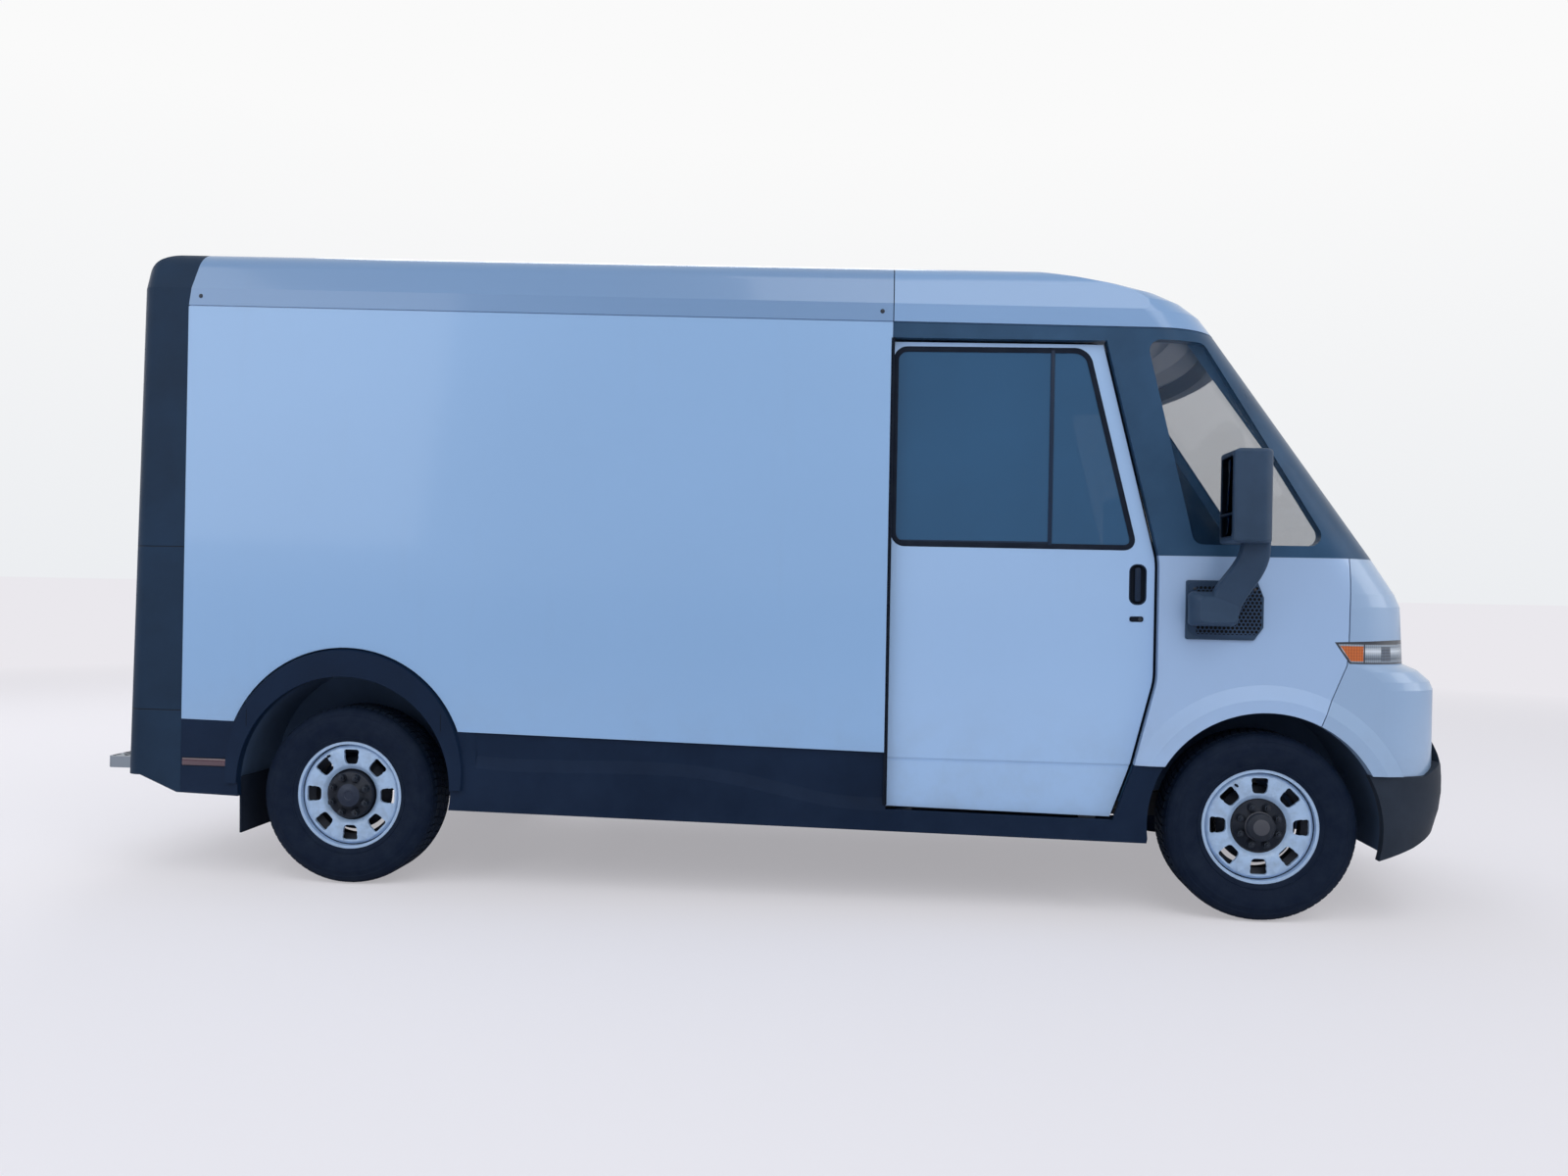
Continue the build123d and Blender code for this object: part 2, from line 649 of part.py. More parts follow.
def sill_cladding():
    """Right lower cladding: rear quarter, wheel flare, coved sill and the step under the door."""
    y_out = -HALF_WIDTH
    y_in = -(HALF_WIDTH - SKIN)
    tail_x = POST_X - 220
    sill_end = WHEELBASE - FRONT_ARCH_R
    top = FENDER_BOTTOM_Z - 1
    outline = side_face([
        (tail_x, SKIRT_REAR_Z),
        (POST_X - 17, SKIRT_Z),
        (-REAR_ARCH_R - 9, SKIRT_Z - 8),
        (REAR_ARCH_R - 3, rocker(REAR_ARCH_R)),
        (sill_end, rocker(sill_end)),
        (WHEELBASE - arch_chord(top) + 1, top),
        (DOOR_FRONT_KNEE + 10, top),
        (DOOR_FRONT_FOOT, DOOR_BOTTOM_FRONT_Z - SILL_TOP_CLEAR),
        (CAB_BACK_X + 4, DOOR_BOTTOM_REAR_Z - SILL_TOP_CLEAR),
        (CAB_BACK_X + 4, panel_bottom(CAB_BACK_X) - 1),
        (POST_X, panel_bottom(POST_X) - 1),
        (tail_x, panel_bottom(POST_X) - 1),
    ])
    sheet = across(outline, y_out, y_in)
    sheet -= block(tail_x - CUT, POST_X + SEAT_GAP, y_out - CUT, y_in + CUT, SKIRT_Z, 900)
    sheet -= across(door_face(PANEL_GAP), y_out - CUT, y_in + CUT) & block(
        CAB_BACK_X + 4, FRONT_X, y_out - CUT, y_in + CUT, DOOR_BOTTOM_FRONT_Z - SILL_TOP_CLEAR, 900
    )
    body = sheet + wheel_flare()
    body -= disc(0, REAR_ARCH_Z, REAR_ARCH_R, y_out - FLARE_PROUD - CUT, y_in + CUT)
    body -= disc(WHEELBASE, FRONT_ARCH_Z, FRONT_ARCH_R, y_out - CUT, y_in + CUT)
    body -= loft([cove_face(y_out - 1, COVE_SHELF), cove_face(y_out + COVE_DEPTH, 0)], ruled=True)
    flange = strip(REAR_ARCH_R + 40, sill_end - 40, rocker, RUNNER_Z, y_in - 1, -SILL_INNER_Y)
    return body + flange


def rear_step():
    """Folded rear step with a perforated tread, round ends and two hangers."""
    half = HALF_WIDTH - 110
    inner_x = rear_face(STEP_TOP_Z) - 2
    lip = 50
    sheet = 4
    plan = make_face(Polyline([
        (-REAR_OVERHANG, -half, 0), (inner_x, -half, 0), (inner_x, half, 0), (-REAR_OVERHANG, half, 0),
    ], close=True))
    corners = [v for v in plan.vertices() if v.X < inner_x - 1]
    plan = fillet(corners, 24)
    tread = extrude(Pos(0, 0, STEP_TOP_Z - lip) * plan, lip)
    tread -= extrude(Pos(0, 0, STEP_TOP_Z - lip - sheet) * offset(plan, amount=-sheet), lip)
    columns = 14
    rows = 2
    pitch = (2 * half - 120) / columns
    row_pitch = (-REAR_OVERHANG - inner_x) / (rows + 0.4)
    holes = []
    for row in range(rows):
        for i in range(columns):
            y = (i + 0.5 - columns / 2) * pitch
            holes.append(Pos(inner_x + (row + 0.7) * row_pitch, y, STEP_TOP_Z) * Cylinder(18, 30))
    tread -= holes
    low = STEP_TOP_Z - 90
    hanger_x = REAR_FACE_X + 125
    for side in (-1, 1):
        arm = (side * (RAIL_Y - 15), side * (RAIL_Y + 15))
        foot = (side * (RAIL_Y - 30), side * (RAIL_Y + 30))
        tread += block(inner_x - 50, inner_x - 10, *arm, low, STEP_TOP_Z - sheet / 2)
        tread += block(inner_x - 50, hanger_x, *arm, low, SKIRT_REAR_Z - 20)
        tread += block(hanger_x - 60, hanger_x, *foot, low, WALL_FOOT_Z - 2 * SEAT_GAP)
    return tread


# ---------------------------------------------------------------- cab
def arch_swell():
    """Raised lip round the right front arch, tapering into the fender and following the corner's curve."""
    side = -HALF_WIDTH
    deep = side + CAB_WALL
    profile = make_face(Polyline([
        (FRONT_ARCH_R - CUT, side - SWELL_PROUD, 0),
        (SWELL_FLAT_R, side - SWELL_PROUD, 0),
        (SWELL_R, side, 0),
        (SWELL_R, deep, 0),
        (FRONT_ARCH_R - CUT, deep, 0),
    ], close=True))
    ring = Pos(WHEELBASE, 0, FRONT_ARCH_Z) * revolve(profile, Axis.Y)
    return ring & (nose_volume(FASCIA_STATIONS, -SWELL_PROUD) - nose_volume(FASCIA_STATIONS, CAB_WALL))


def front_lower_shell():
    """The cab's painted lower shell, from the fender's foot to the belt line, with its arch lips."""
    return nose_shell(FASCIA_STATIONS, CAB_WALL) + both_sides(arch_swell())


def lamp_region(gap=0):
    """Side-view wedge of the headlamp on both corners, grown by a gap."""
    face = side_face([(WHEELBASE + x, z) for x, z in LAMP_POINTS])
    face = offset(face, amount=gap, kind=Kind.INTERSECTION) if gap else face
    return both_sides(across(face, -HALF_WIDTH - CUT, -(LAMP_INNER_Y - gap)))


def fascia_region(gap=0):
    """Everything ahead of the seam between fender and fascia."""
    return slab([
        (SEAM_X + gap, BELT_Z + CUT),
        (SEAM_X - 4 + gap, 1161),
        (SEAM_X - 10 + gap, 1066),
        (SEAM_X - 108 + gap, 822),
        (SEAM_X - 259 + gap, 560),
        (FRONT_X + 200, 560),
        (FRONT_X + 200, BELT_Z + CUT),
    ], -HALF_WIDTH - 2 * CUT, HALF_WIDTH + 2 * CUT)


def front_fender(shell):
    """Right front fender, cut by the door's shut line, the wheel arch and the seam to the fascia."""
    out = -HALF_WIDTH - 2 * CUT
    fender = shell - fascia_region(-SEAM_GAP / 2) - lamp_region(SEAT_GAP)
    fender -= disc(WHEELBASE, FRONT_ARCH_Z, FRONT_ARCH_R, out, 0)
    fender &= block(CAB_REAR_X - CUT, FRONT_X, out, 0, FENDER_BOTTOM_Z, BELT_Z + CUT)
    fender -= across(door_face(PANEL_GAP), out, -HALF_WIDTH + 2 * CAB_WALL)
    return fender - block(CAB_REAR_X - 2 * CUT, DOOR_FRONT_KNEE - CUT, out, 0, 0, BELT_Z + CUT)


def bumper_region(gap=0):
    """Side view of the front bumper: rising lower edge, and a top edge that climbs towards the nose."""
    return slab([
        (WHEELBASE + 350, BUMPER_SIDE_TOP + gap),
        (WHEELBASE + 640, BUMPER_SIDE_TOP + gap),
        (WHEELBASE + 740, BUMPER_SIDE_TOP + 43 + gap),
        (WHEELBASE + 800, BUMPER_NOSE_TOP + gap),
        (FRONT_X + 80, BUMPER_NOSE_TOP + gap),
        (FRONT_X + 80, 402),
        (WHEELBASE + 760, 396),
        (WHEELBASE + 600, 330),
        (WHEELBASE + 446, 279),
        (WHEELBASE + 350, 279),
    ], -HALF_WIDTH - 2 * CUT, HALF_WIDTH + 2 * CUT)


def front_fascia(shell):
    """Painted nose ahead of the fenders, over the bumper."""
    fascia = (shell & fascia_region(SEAM_GAP / 2)) - lamp_region(SEAT_GAP) - bumper_region(SEAT_GAP)
    for side in (-1, 1):
        fascia -= disc(WHEELBASE, FRONT_ARCH_Z, FRONT_ARCH_R, side * 400, side * (HALF_WIDTH + 2 * CUT))
    return fascia


def headlamps():
    """Corner headlamps, as thick as the pillars and standing on the fascia's shoulder."""
    return nose_shell(FASCIA_STATIONS, FRAME_WALL) & lamp_region()


def front_bumper():
    """Moulded front bumper with an air intake."""
    shell = nose_shell(BUMPER_STATIONS, CAB_WALL, BUMPER_CORNER)
    bumper = shell & bumper_region(-SEAT_GAP)
    for i in range(INTAKE_SLOTS):
        slot = Plane.YZ * SlotOverall(INTAKE_WIDTH - 40 * i, INTAKE_SLOT)
        bumper -= extrude(Pos(FRONT_X - 120, 0, INTAKE_Z - i * INTAKE_PITCH) * slot, 200, dir=(1, 0, 0))
    for side in (-1, 1):
        bumper -= disc(WHEELBASE, FRONT_ARCH_Z, FRONT_ARCH_R - 8, side * 700, side * (HALF_WIDTH + 2 * CUT))
    return bumper


def screen_cutter(grow=0):
    """A front-view trapezium with round corners that cuts the windscreen from the cab's front."""
    low = BELT_Z + SCREEN_BAND - grow
    high = SCREEN_TOP_Z - 64 + grow
    half = SCREEN_SIDE + grow
    face = make_face(Polyline([
        (0, -half - 60, low), (0, half + 60, low), (0, half, high), (0, -half, high),
    ], close=True))
    face = rounded(face, SCREEN_CORNER + grow)
    return extrude(Pos(WHEELBASE - 500, 0, 0) * face, 1600, dir=(1, 0, 0))


def quarter_face(shrink=0):
    """Side view of the fixed glass between the door's pillar and the windscreen's pillar."""
    face = rounded(side_face([(WHEELBASE + x, z) for x, z in QUARTER_POINTS]), 45)
    return offset(face, amount=-shrink, kind=Kind.INTERSECTION) if shrink else face


def glass_skin():
    """The glass's own layer of the greenhouse, a little below the pillars' outer face."""
    depth = 4
    skin = nose_volume(GREENHOUSE_STATIONS, depth, NOSE_CORNER, GREENHOUSE_TOP_HALF)
    return skin - nose_volume(GREENHOUSE_STATIONS, depth + GLASS, NOSE_CORNER, GREENHOUSE_TOP_HALF)


def door_post():
    """Right post in front of the door, below the belt line."""
    side = -HALF_WIDTH
    grown = door_face(PANEL_GAP)
    post = across(offset(grown, amount=52, kind=Kind.INTERSECTION), side + CAB_WALL + 1, side + 110)
    post -= across(grown, side, side + 120)
    post &= block(DOOR_FRONT_FOOT - 4, DOOR_FRONT_BELT + 80, side, 0, CAB_FLOOR_Z + SEAT_GAP, BELT_Z + 60)
    return post - disc(WHEELBASE, FRONT_ARCH_Z, FRONT_HOUSE_R + LINER_THICK + SEAT_GAP, side, 0)


def cab_frame():
    """Pillars, header and cowl round the cab's glass, with the door's front post below the belt line."""
    wide = HALF_WIDTH + 2 * CUT
    shell = nose_shell(GREENHOUSE_STATIONS, FRAME_WALL, NOSE_CORNER, GREENHOUSE_TOP_HALF)
    frame = shell & strip(
        CAB_BACK_X + SEAT_GAP, FRONT_X, BELT_Z + SEAT_GAP, lambda x: roof_line(x) - SEAT_GAP, -wide, wide
    )
    frame -= screen_cutter()
    for side in (-1, 1):
        y0 = side * wide
        y1 = side * (HALF_WIDTH - FRAME_WALL - 30)
        frame -= across(door_face(PANEL_GAP), y0, y1)
        frame -= block(CAB_BACK_X - CUT, DOOR_REAR_X + 60, y0, y1, 300, DOOR_TOP_REAR_Z + PANEL_GAP)
        frame -= across(quarter_face(), y0, y1)
    return frame + both_sides(door_post())


def windscreen():
    """Curved windscreen, flush in its frame."""
    return glass_skin() & screen_cutter(-SEAT_GAP)


def quarter_glass():
    """Fixed side glass, one pane each side."""
    pane = glass_skin() & across(quarter_face(SEAT_GAP), -HALF_WIDTH - CUT, -HALF_WIDTH + FRAME_WALL + 30)
    return both_sides(pane)


def cab_roof():
    """Cab roof that carries the load space's section forward and curves down to the windscreen."""
    rear = CAB_BACK_X + SEAM_GAP
    front = WHEELBASE + 100
    lip = 14
    stations = [(SCREEN_TOP_Z - 40, SCREEN_TOP_NOSE + 29)] + ROOF_STATIONS
    outer = along_roof(rear, front) & nose_volume(stations)
    inner = nose_volume([(z - lip, nose - lip) for z, nose in stations], ROOF_WALL - lip)
    inner &= along_roof(rear, front, ROOF_WALL, CUT)
    return (outer & roof_space(rear, front)) - inner


# ---------------------------------------------------------------- cab fittings
def column_point(along):
    """A point on the steering column's axis, measured down the column from the steering wheel's centre."""
    tilt = radians(COLUMN_TILT)
    return (WHEEL_CENTRE[0] + along * cos(tilt), DRIVER_Y, WHEEL_CENTRE[1] - along * sin(tilt))


def dashboard():
    """Dash with a raised cluster hood on the driver's side and the steering column."""
    body = slab([
        (WHEELBASE + 20, 1010),
        (WHEELBASE + 330, 900),
        (WHEELBASE + 520, 1280),
        (WHEELBASE + 520, BELT_Z - 60),
        (WHEELBASE + 120, 1400),
        (WHEELBASE - 10, 1330),
        (WHEELBASE - 40, 1180),
    ], -DASH_HALF, DASH_HALF)
    body &= nose_volume(FASCIA_STATIONS, CAB_WALL + SEAT_GAP)
    body -= lamp_region(SEAT_GAP)
    house = FRONT_HOUSE_R + LINER_THICK + SEAT_GAP
    for side in (-1, 1):
        body -= disc(WHEELBASE, FRONT_ARCH_Z, house, side * (HOUSE_INNER_Y - SEAT_GAP), side * HALF_WIDTH)
    hood = slab([
        (WHEELBASE - 6, 1320),
        (WHEELBASE + 200, 1410),
        (WHEELBASE + 170, 1480),
        (WHEELBASE + 20, 1470),
        (WHEELBASE - 30, 1440),
    ], DRIVER_Y - 190, DRIVER_Y + 190)
    return body + hood + tube(column_point(COLUMN_RADIUS), column_point(400), COLUMN_RADIUS)


def steering_wheel():
    """Rim, three spokes and boss of the steering wheel."""
    wheel = Torus(RIM_RADIUS, RIM_BAR) + Pos(0, 0, -18) * Cylinder(46, 30)
    for angle in (0, 90, 180):
        spoke = loft([
            Plane(origin=(30, 0, -16), z_dir=(1, 0, 0.08)) * Rectangle(16, 46),
            Plane(origin=(RIM_RADIUS - 5, 0, -3), z_dir=(1, 0, 0.08)) * Rectangle(12, 26),
        ])
        wheel += Rot(0, 0, angle - 180) * spoke
    tilt = radians(COLUMN_TILT)
    return Plane(origin=column_point(0), x_dir=(0, -1, 0), z_dir=(-cos(tilt), 0, sin(tilt))) * wheel


def seat_back_x(z):
    """X of the seat back frame's front face at a height."""
    return SEAT_X - 222 - (z - SEAT_PAN_Z - 10) * 0.18


def seat_base():
    """Driver's seat pedestal and the frames that carry the cushions."""
    pan_top = SEAT_PAN_Z + 30
    base = slab([
        (SEAT_X - 170, CAB_FLOOR_Z + SEAT_GAP),
        (SEAT_X + 170, CAB_FLOOR_Z + SEAT_GAP),
        (SEAT_X + 130, SEAT_PAN_Z),
        (SEAT_X - 130, SEAT_PAN_Z),
    ], DRIVER_Y - 170, DRIVER_Y + 170)
    pan = block(SEAT_X - 250, SEAT_X + 240, DRIVER_Y - 235, DRIVER_Y + 235, SEAT_PAN_Z, pan_top)
    back = slab([
        (seat_back_x(SEAT_PAN_Z) - 28, SEAT_PAN_Z + 10),
        (seat_back_x(SEAT_PAN_Z), SEAT_PAN_Z + 10),
        (seat_back_x(SEAT_BACK_TOP), SEAT_BACK_TOP),
        (seat_back_x(SEAT_BACK_TOP) - 28, SEAT_BACK_TOP),
    ], DRIVER_Y - 215, DRIVER_Y + 215)
    for y in (DRIVER_Y - 60, DRIVER_Y + 60):
        back += Pos(seat_back_x(HEADREST_Z) - 14, y, SEAT_BACK_TOP + 10) * Cylinder(7, 70)
    return base + pan + back


def seat_cushions():
    """Seat and back cushions with a head restraint, clear of their frames."""
    low = SEAT_PAN_Z + 30 + SEAT_GAP
    seat = rounded(side_face([
        (SEAT_X - 170, low), (SEAT_X + 250, low), (SEAT_X + 260, 970), (SEAT_X - 190, 945),
    ]), 30)
    back_low = seat_back_x(975) + SEAT_GAP + 2
    back_high = seat_back_x(SEAT_BACK_TOP) + SEAT_GAP
    back = rounded(side_face([
        (back_low, 975), (back_low + 98, 975), (back_high + 85, SEAT_BACK_TOP), (back_high, SEAT_BACK_TOP),
    ]), 30)
    rest_x = seat_back_x(HEADREST_Z) - 30
    rest_z = HEADREST_Z + SEAT_GAP
    rest = rounded(side_face([
        (rest_x, rest_z), (rest_x + 90, rest_z), (rest_x + 70, 1720), (rest_x - 12, 1720),
    ]), 25)
    return Compound([
        across(seat, DRIVER_Y - 245, DRIVER_Y + 245),
        across(back, DRIVER_Y - 230, DRIVER_Y + 230),
        across(rest, DRIVER_Y - 130, DRIVER_Y + 130),
    ])


# ---------------------------------------------------------------- doors and mirrors
def door():
    """Right sliding door: window opening, pressed crease and runner shoes."""
    face_y = -DOOR_Y
    panel = across(door_face(), face_y, face_y + DOOR_THICK)
    panel -= across(window_face(), face_y - CUT, face_y + DOOR_THICK + CUT)
    panel -= block(DOOR_REAR_X - CUT, FRONT_X, face_y - 1, face_y + 4, CREASE_Z - 6, CREASE_Z + 6)
    for x in (DOOR_REAR_X + 90, DOOR_FRONT_FOOT - 90):
        panel += block(x - 35, x + 35, face_y + 8, face_y + 32, RUNNER_Z + RUNNER_PLAY, DOOR_BOTTOM_REAR_Z + 10)
    return panel


def door_glass():
    """Door window: one pane with the upright divider that splits it."""
    y0 = -DOOR_Y + 3
    pane = across(window_face(SEAT_GAP), y0, y0 + GLASS)
    bar_top = DOOR_TOP_FRONT_Z - WINDOW_TOP - 10
    bar = block(DIVIDER_X - 9, DIVIDER_X + 9, y0 + GLASS, y0 + GLASS + 14, WINDOW_SILL_Z + 2, bar_top)
    return pane + bar


def mirror_head():
    """Right mirror's tall housing, rounded forward, with a rimmed recess for the glass in its rear face."""
    x = WHEELBASE
    y = -HALF_WIDTH
    low = 1542
    tall = 360
    plan = make_face(Polyline([
        (x - 240, y - 331, 0), (x - 96, y - 323, 0), (x - 62, y - 210, 0), (x - 84, y - 88, 0), (x - 226, y - 84, 0),
    ], close=True))
    front = [v for v in plan.vertices() if v.X > x - 150]
    plan = fillet(front, 52)
    plan = fillet([v for v in plan.vertices() if v.X < x - 200], 14)
    head = extrude(Pos(0, 0, low) * plan, tall)
    head = fillet(head.faces().sort_by(Axis.Z)[-1].edges(), 13)
    head = fillet(head.faces().sort_by(Axis.Z)[0].edges(), 13)
    brow = rounded(side_face([
        (x - 260, low - CUT), (x - 50, low - CUT), (x - 50, low + tall), (x - 260, low + tall + 2),
    ]), 58)
    head &= across(brow, y - 400, y)
    rear = Plane(origin=(x - 233, y - 207, low + tall / 2), x_dir=(0.057, 1, 0), z_dir=(-1, 0.057, 0))
    return head - extrude(rear * RectangleRounded(206, 318, 24), 8, both=True)


def mirror_plate():
    """Right mirror's base plate on the fender, with cut corners ahead of the arm."""
    x = WHEELBASE
    plate = side_face([
        (x - 332, 1158), (x - 62, 1158), (x - 25, 1211), (x - 25, 1332), (x - 52, 1399), (x - 332, 1399),
    ])
    return across(rounded(plate, 9), -HALF_WIDTH - 12, -HALF_WIDTH - SEAT_GAP)


def mirror_arm():
    """Right mirror's cast arm: a thick foot on the plate and a flattened stem that rises to the head."""
    x = WHEELBASE
    y = -HALF_WIDTH
    foot = loft([
        Plane(origin=(x - 240, y - 10, 1280), x_dir=(1, 0, 0), z_dir=(0, -1, 0)) * RectangleRounded(156, 122, 16),
        Plane(origin=(x - 240, y - 104, 1284), x_dir=(1, 0, 0), z_dir=(0, -1, 0)) * RectangleRounded(176, 126, 20),
        Plane(origin=(x - 232, y - 132, 1282), x_dir=(1, 0, 0), z_dir=(0, -1, 0)) * RectangleRounded(146, 98, 20),
    ])
    rise = (0.33, -0.26, 0.91)
    stem = loft([
        Plane(origin=(x - 214, y - 88, 1256), x_dir=(0.94, 0, -0.34), z_dir=rise) * RectangleRounded(128, 72, 18),
        Plane(origin=(x - 172, y - 130, 1378), x_dir=(0.94, 0, -0.34), z_dir=rise) * RectangleRounded(120, 66, 18),
        Plane(origin=(x - 128, y - 192, 1478), x_dir=(0.98, 0, -0.2), z_dir=(0.2, -0.2, 0.95)) * RectangleRounded(
            112, 66, 18
        ),
        Plane(origin=(x - 120, y - 204, 1552), x_dir=(1, 0, 0), z_dir=(0, 0, 1)) * RectangleRounded(104, 68, 18),
    ])
    return foot + stem


def mirror_assembly():
    """Right mirror: plate, arm and head."""
    return mirror_plate() + mirror_arm() + mirror_head()


# ---------------------------------------------------------------- wheelhouses and flaps
def wheelhouse(x, z, radius, y_out, y_in):
    """Right-hand arch liner with its inner wall, as a half drum round the wheel."""
    ring = disc(x, z, radius + LINER_THICK, -y_out, -y_in)
    ring -= disc(x, z, radius, -y_out - CUT, -y_in - LINER_THICK)
    return ring


def front_house():
    """Right front wheelhouse, open below behind the wheel and trimmed to the inside of the bumper."""
    y_out = HALF_WIDTH - CAB_WALL - SEAT_GAP
    ring = wheelhouse(WHEELBASE, FRONT_ARCH_Z, FRONT_HOUSE_R, y_out, HOUSE_INNER_Y)
    far = 2 * FRONT_ARCH_R
    ring -= block(WHEELBASE - far, WHEELBASE, -HALF_WIDTH, 0, -far, FRONT_ARCH_Z + 60)
    ring -= block(WHEELBASE, WHEELBASE + far, -HALF_WIDTH, 0, -far, LINER_FOOT_Z)
    arms = (-HOUSE_INNER_Y - CUT, -HOUSE_INNER_Y + 1)
    ring -= block(WHEELBASE - 120, WHEELBASE + 120, *arms, 0, KINGPIN_HIGH_Z + 93)
    ring -= nose_shell(BUMPER_STATIONS, CAB_WALL + SEAT_GAP, BUMPER_CORNER)
    return ring - nose_shell(FASCIA_STATIONS, CAB_WALL + SEAT_GAP)


def rear_house():
    """Right rear wheelhouse, from the cladding to its inner wall."""
    y_out = HALF_WIDTH - SKIN - SEAT_GAP
    ring = wheelhouse(0, REAR_ARCH_Z, REAR_ARCH_R + HOUSE_PLAY_R, y_out, REAR_HOUSE_INNER_Y)
    far = 2 * REAR_ARCH_R
    ring -= block(-far, -far / 4, -HALF_WIDTH, 0, -far, SKIRT_Z + 12)
    return ring - block(-far / 4, far, -HALF_WIDTH, 0, -far, REAR_ARCH_Z + 60)


def mud_flaps():
    """Rubber flap behind each rear wheel."""
    x = -REAR_ARCH_R + 2
    flap = slab([
        (x, REAR_ARCH_Z + 24),
        (x - 8, REAR_ARCH_Z + 24),
        (x - 4, 215),
        (x + 4, 215),
    ], -(HALF_WIDTH - SKIN - SEAT_GAP), -HALF_WIDTH + 290)
    return both_sides(flap)


# ---------------------------------------------------------------- running gear
def chassis_frame():
    """Ladder frame: deep rails beside the battery, narrow rails over the axles and cross-bearers."""
    top = CAB_FLOOR_Z - CAB_FLOOR_THICK - SEAT_GAP
    deck = CARGO_FLOOR_Z - CARGO_FLOOR_THICK - SEAT_GAP
    box_rear = REAR_ARCH_R + 120
    box_front = WHEELBASE - FRONT_ARCH_R - 150
    end = 80
    rear = REAR_FACE_X + VALANCE_DEPTH + 2
    side_out = SIDE_RAIL_Y + RAIL_WIDTH / 2
    frame = block(box_rear, box_rear + end, -side_out, side_out, BATTERY_BOTTOM_Z, top)
    frame += block(box_front - end, box_front, -side_out, side_out, BATTERY_BOTTOM_Z, top)
    for side in (-1, 1):
        wide = (side * (SIDE_RAIL_Y - RAIL_WIDTH / 2), side * side_out)
        narrow = (side * (RAIL_Y - RAIL_WIDTH / 2), side * (RAIL_Y + RAIL_WIDTH / 2))
        frame += block(box_rear, box_front, *wide, BATTERY_BOTTOM_Z, top)
        frame += block(rear, box_rear + end, *narrow, deck - RAIL_HEIGHT, deck)
        frame += block(box_rear, box_rear + end, *narrow, top - 10, deck)
        frame += block(box_front - end, FRONT_X - 330, *narrow, top - 110, top)
    bearer_half = HALF_WIDTH - 150
    bearers = 4
    first = box_rear + 250
    pitch = (BULKHEAD_X - 130 - first) / (bearers - 1)
    for i in range(bearers):
        x = first + i * pitch
        frame += block(x, x + 70, -bearer_half, bearer_half, top - 1, deck)
    for x in (rear, -430, 330):
        frame += block(x, x + 60, -RAIL_Y, RAIL_Y, deck - RAIL_HEIGHT, deck)
    return frame


def battery_pack():
    """Closed battery pack between the side rails."""
    rear = REAR_ARCH_R + 240
    half = SIDE_RAIL_Y - RAIL_WIDTH / 2 - SEAT_GAP
    top = CAB_FLOOR_Z - CAB_FLOOR_THICK - 6
    return block(rear, rear + BATTERY_LENGTH, -half, half, BATTERY_BOTTOM_Z - 12, top)


def leaf_spring(y):
    """Leaf spring over the rear axle at y, with an eye at each end and a shackle to the chassis rail."""
    reach = 640
    eye_z = 557
    leaf = 35
    mid = TYRE_RADIUS + 60
    arc = ThreePointArc((-reach, 0, eye_z - 12), (0, 0, mid), (reach, 0, eye_z - 12))
    over = ThreePointArc((reach, 0, eye_z + 11), (0, 0, mid + 36), (-reach, 0, eye_z + 11))
    ends = [
        Line((reach, 0, eye_z - 12), (reach, 0, eye_z + 11)),
        Line((-reach, 0, eye_z + 11), (-reach, 0, eye_z - 12)),
    ]
    spring = across(make_face([arc, over] + ends), y - leaf, y + leaf)
    side = 1 if y > 0 else -1
    rail = side * (RAIL_Y + RAIL_WIDTH / 2 + SEAT_GAP)
    for x in (-reach, reach):
        spring += disc(x, eye_z, 26, y - leaf, y + leaf)
        spring += block(x - 24, x + 24, rail, y - side * 30, eye_z - 17, eye_z + 63)
    return spring


def rear_axle():
    """Drive axle with its motor housing and its leaf springs."""
    beam = disc(0, TYRE_RADIUS, 52, -(WHEEL_Y - 60), WHEEL_Y - 60)
    beam += disc(0, TYRE_RADIUS, STUB_RADIUS, -(WHEEL_Y + STUB_REACH), WHEEL_Y + STUB_REACH)
    beam += disc(0, TYRE_RADIUS, 150, -170, 190)
    for y in (-RAIL_Y - 90, RAIL_Y + 90):
        beam += block(-70, 70, y - 42, y + 42, TYRE_RADIUS - 20, TYRE_RADIUS + 72)
        beam += leaf_spring(y)
    return beam


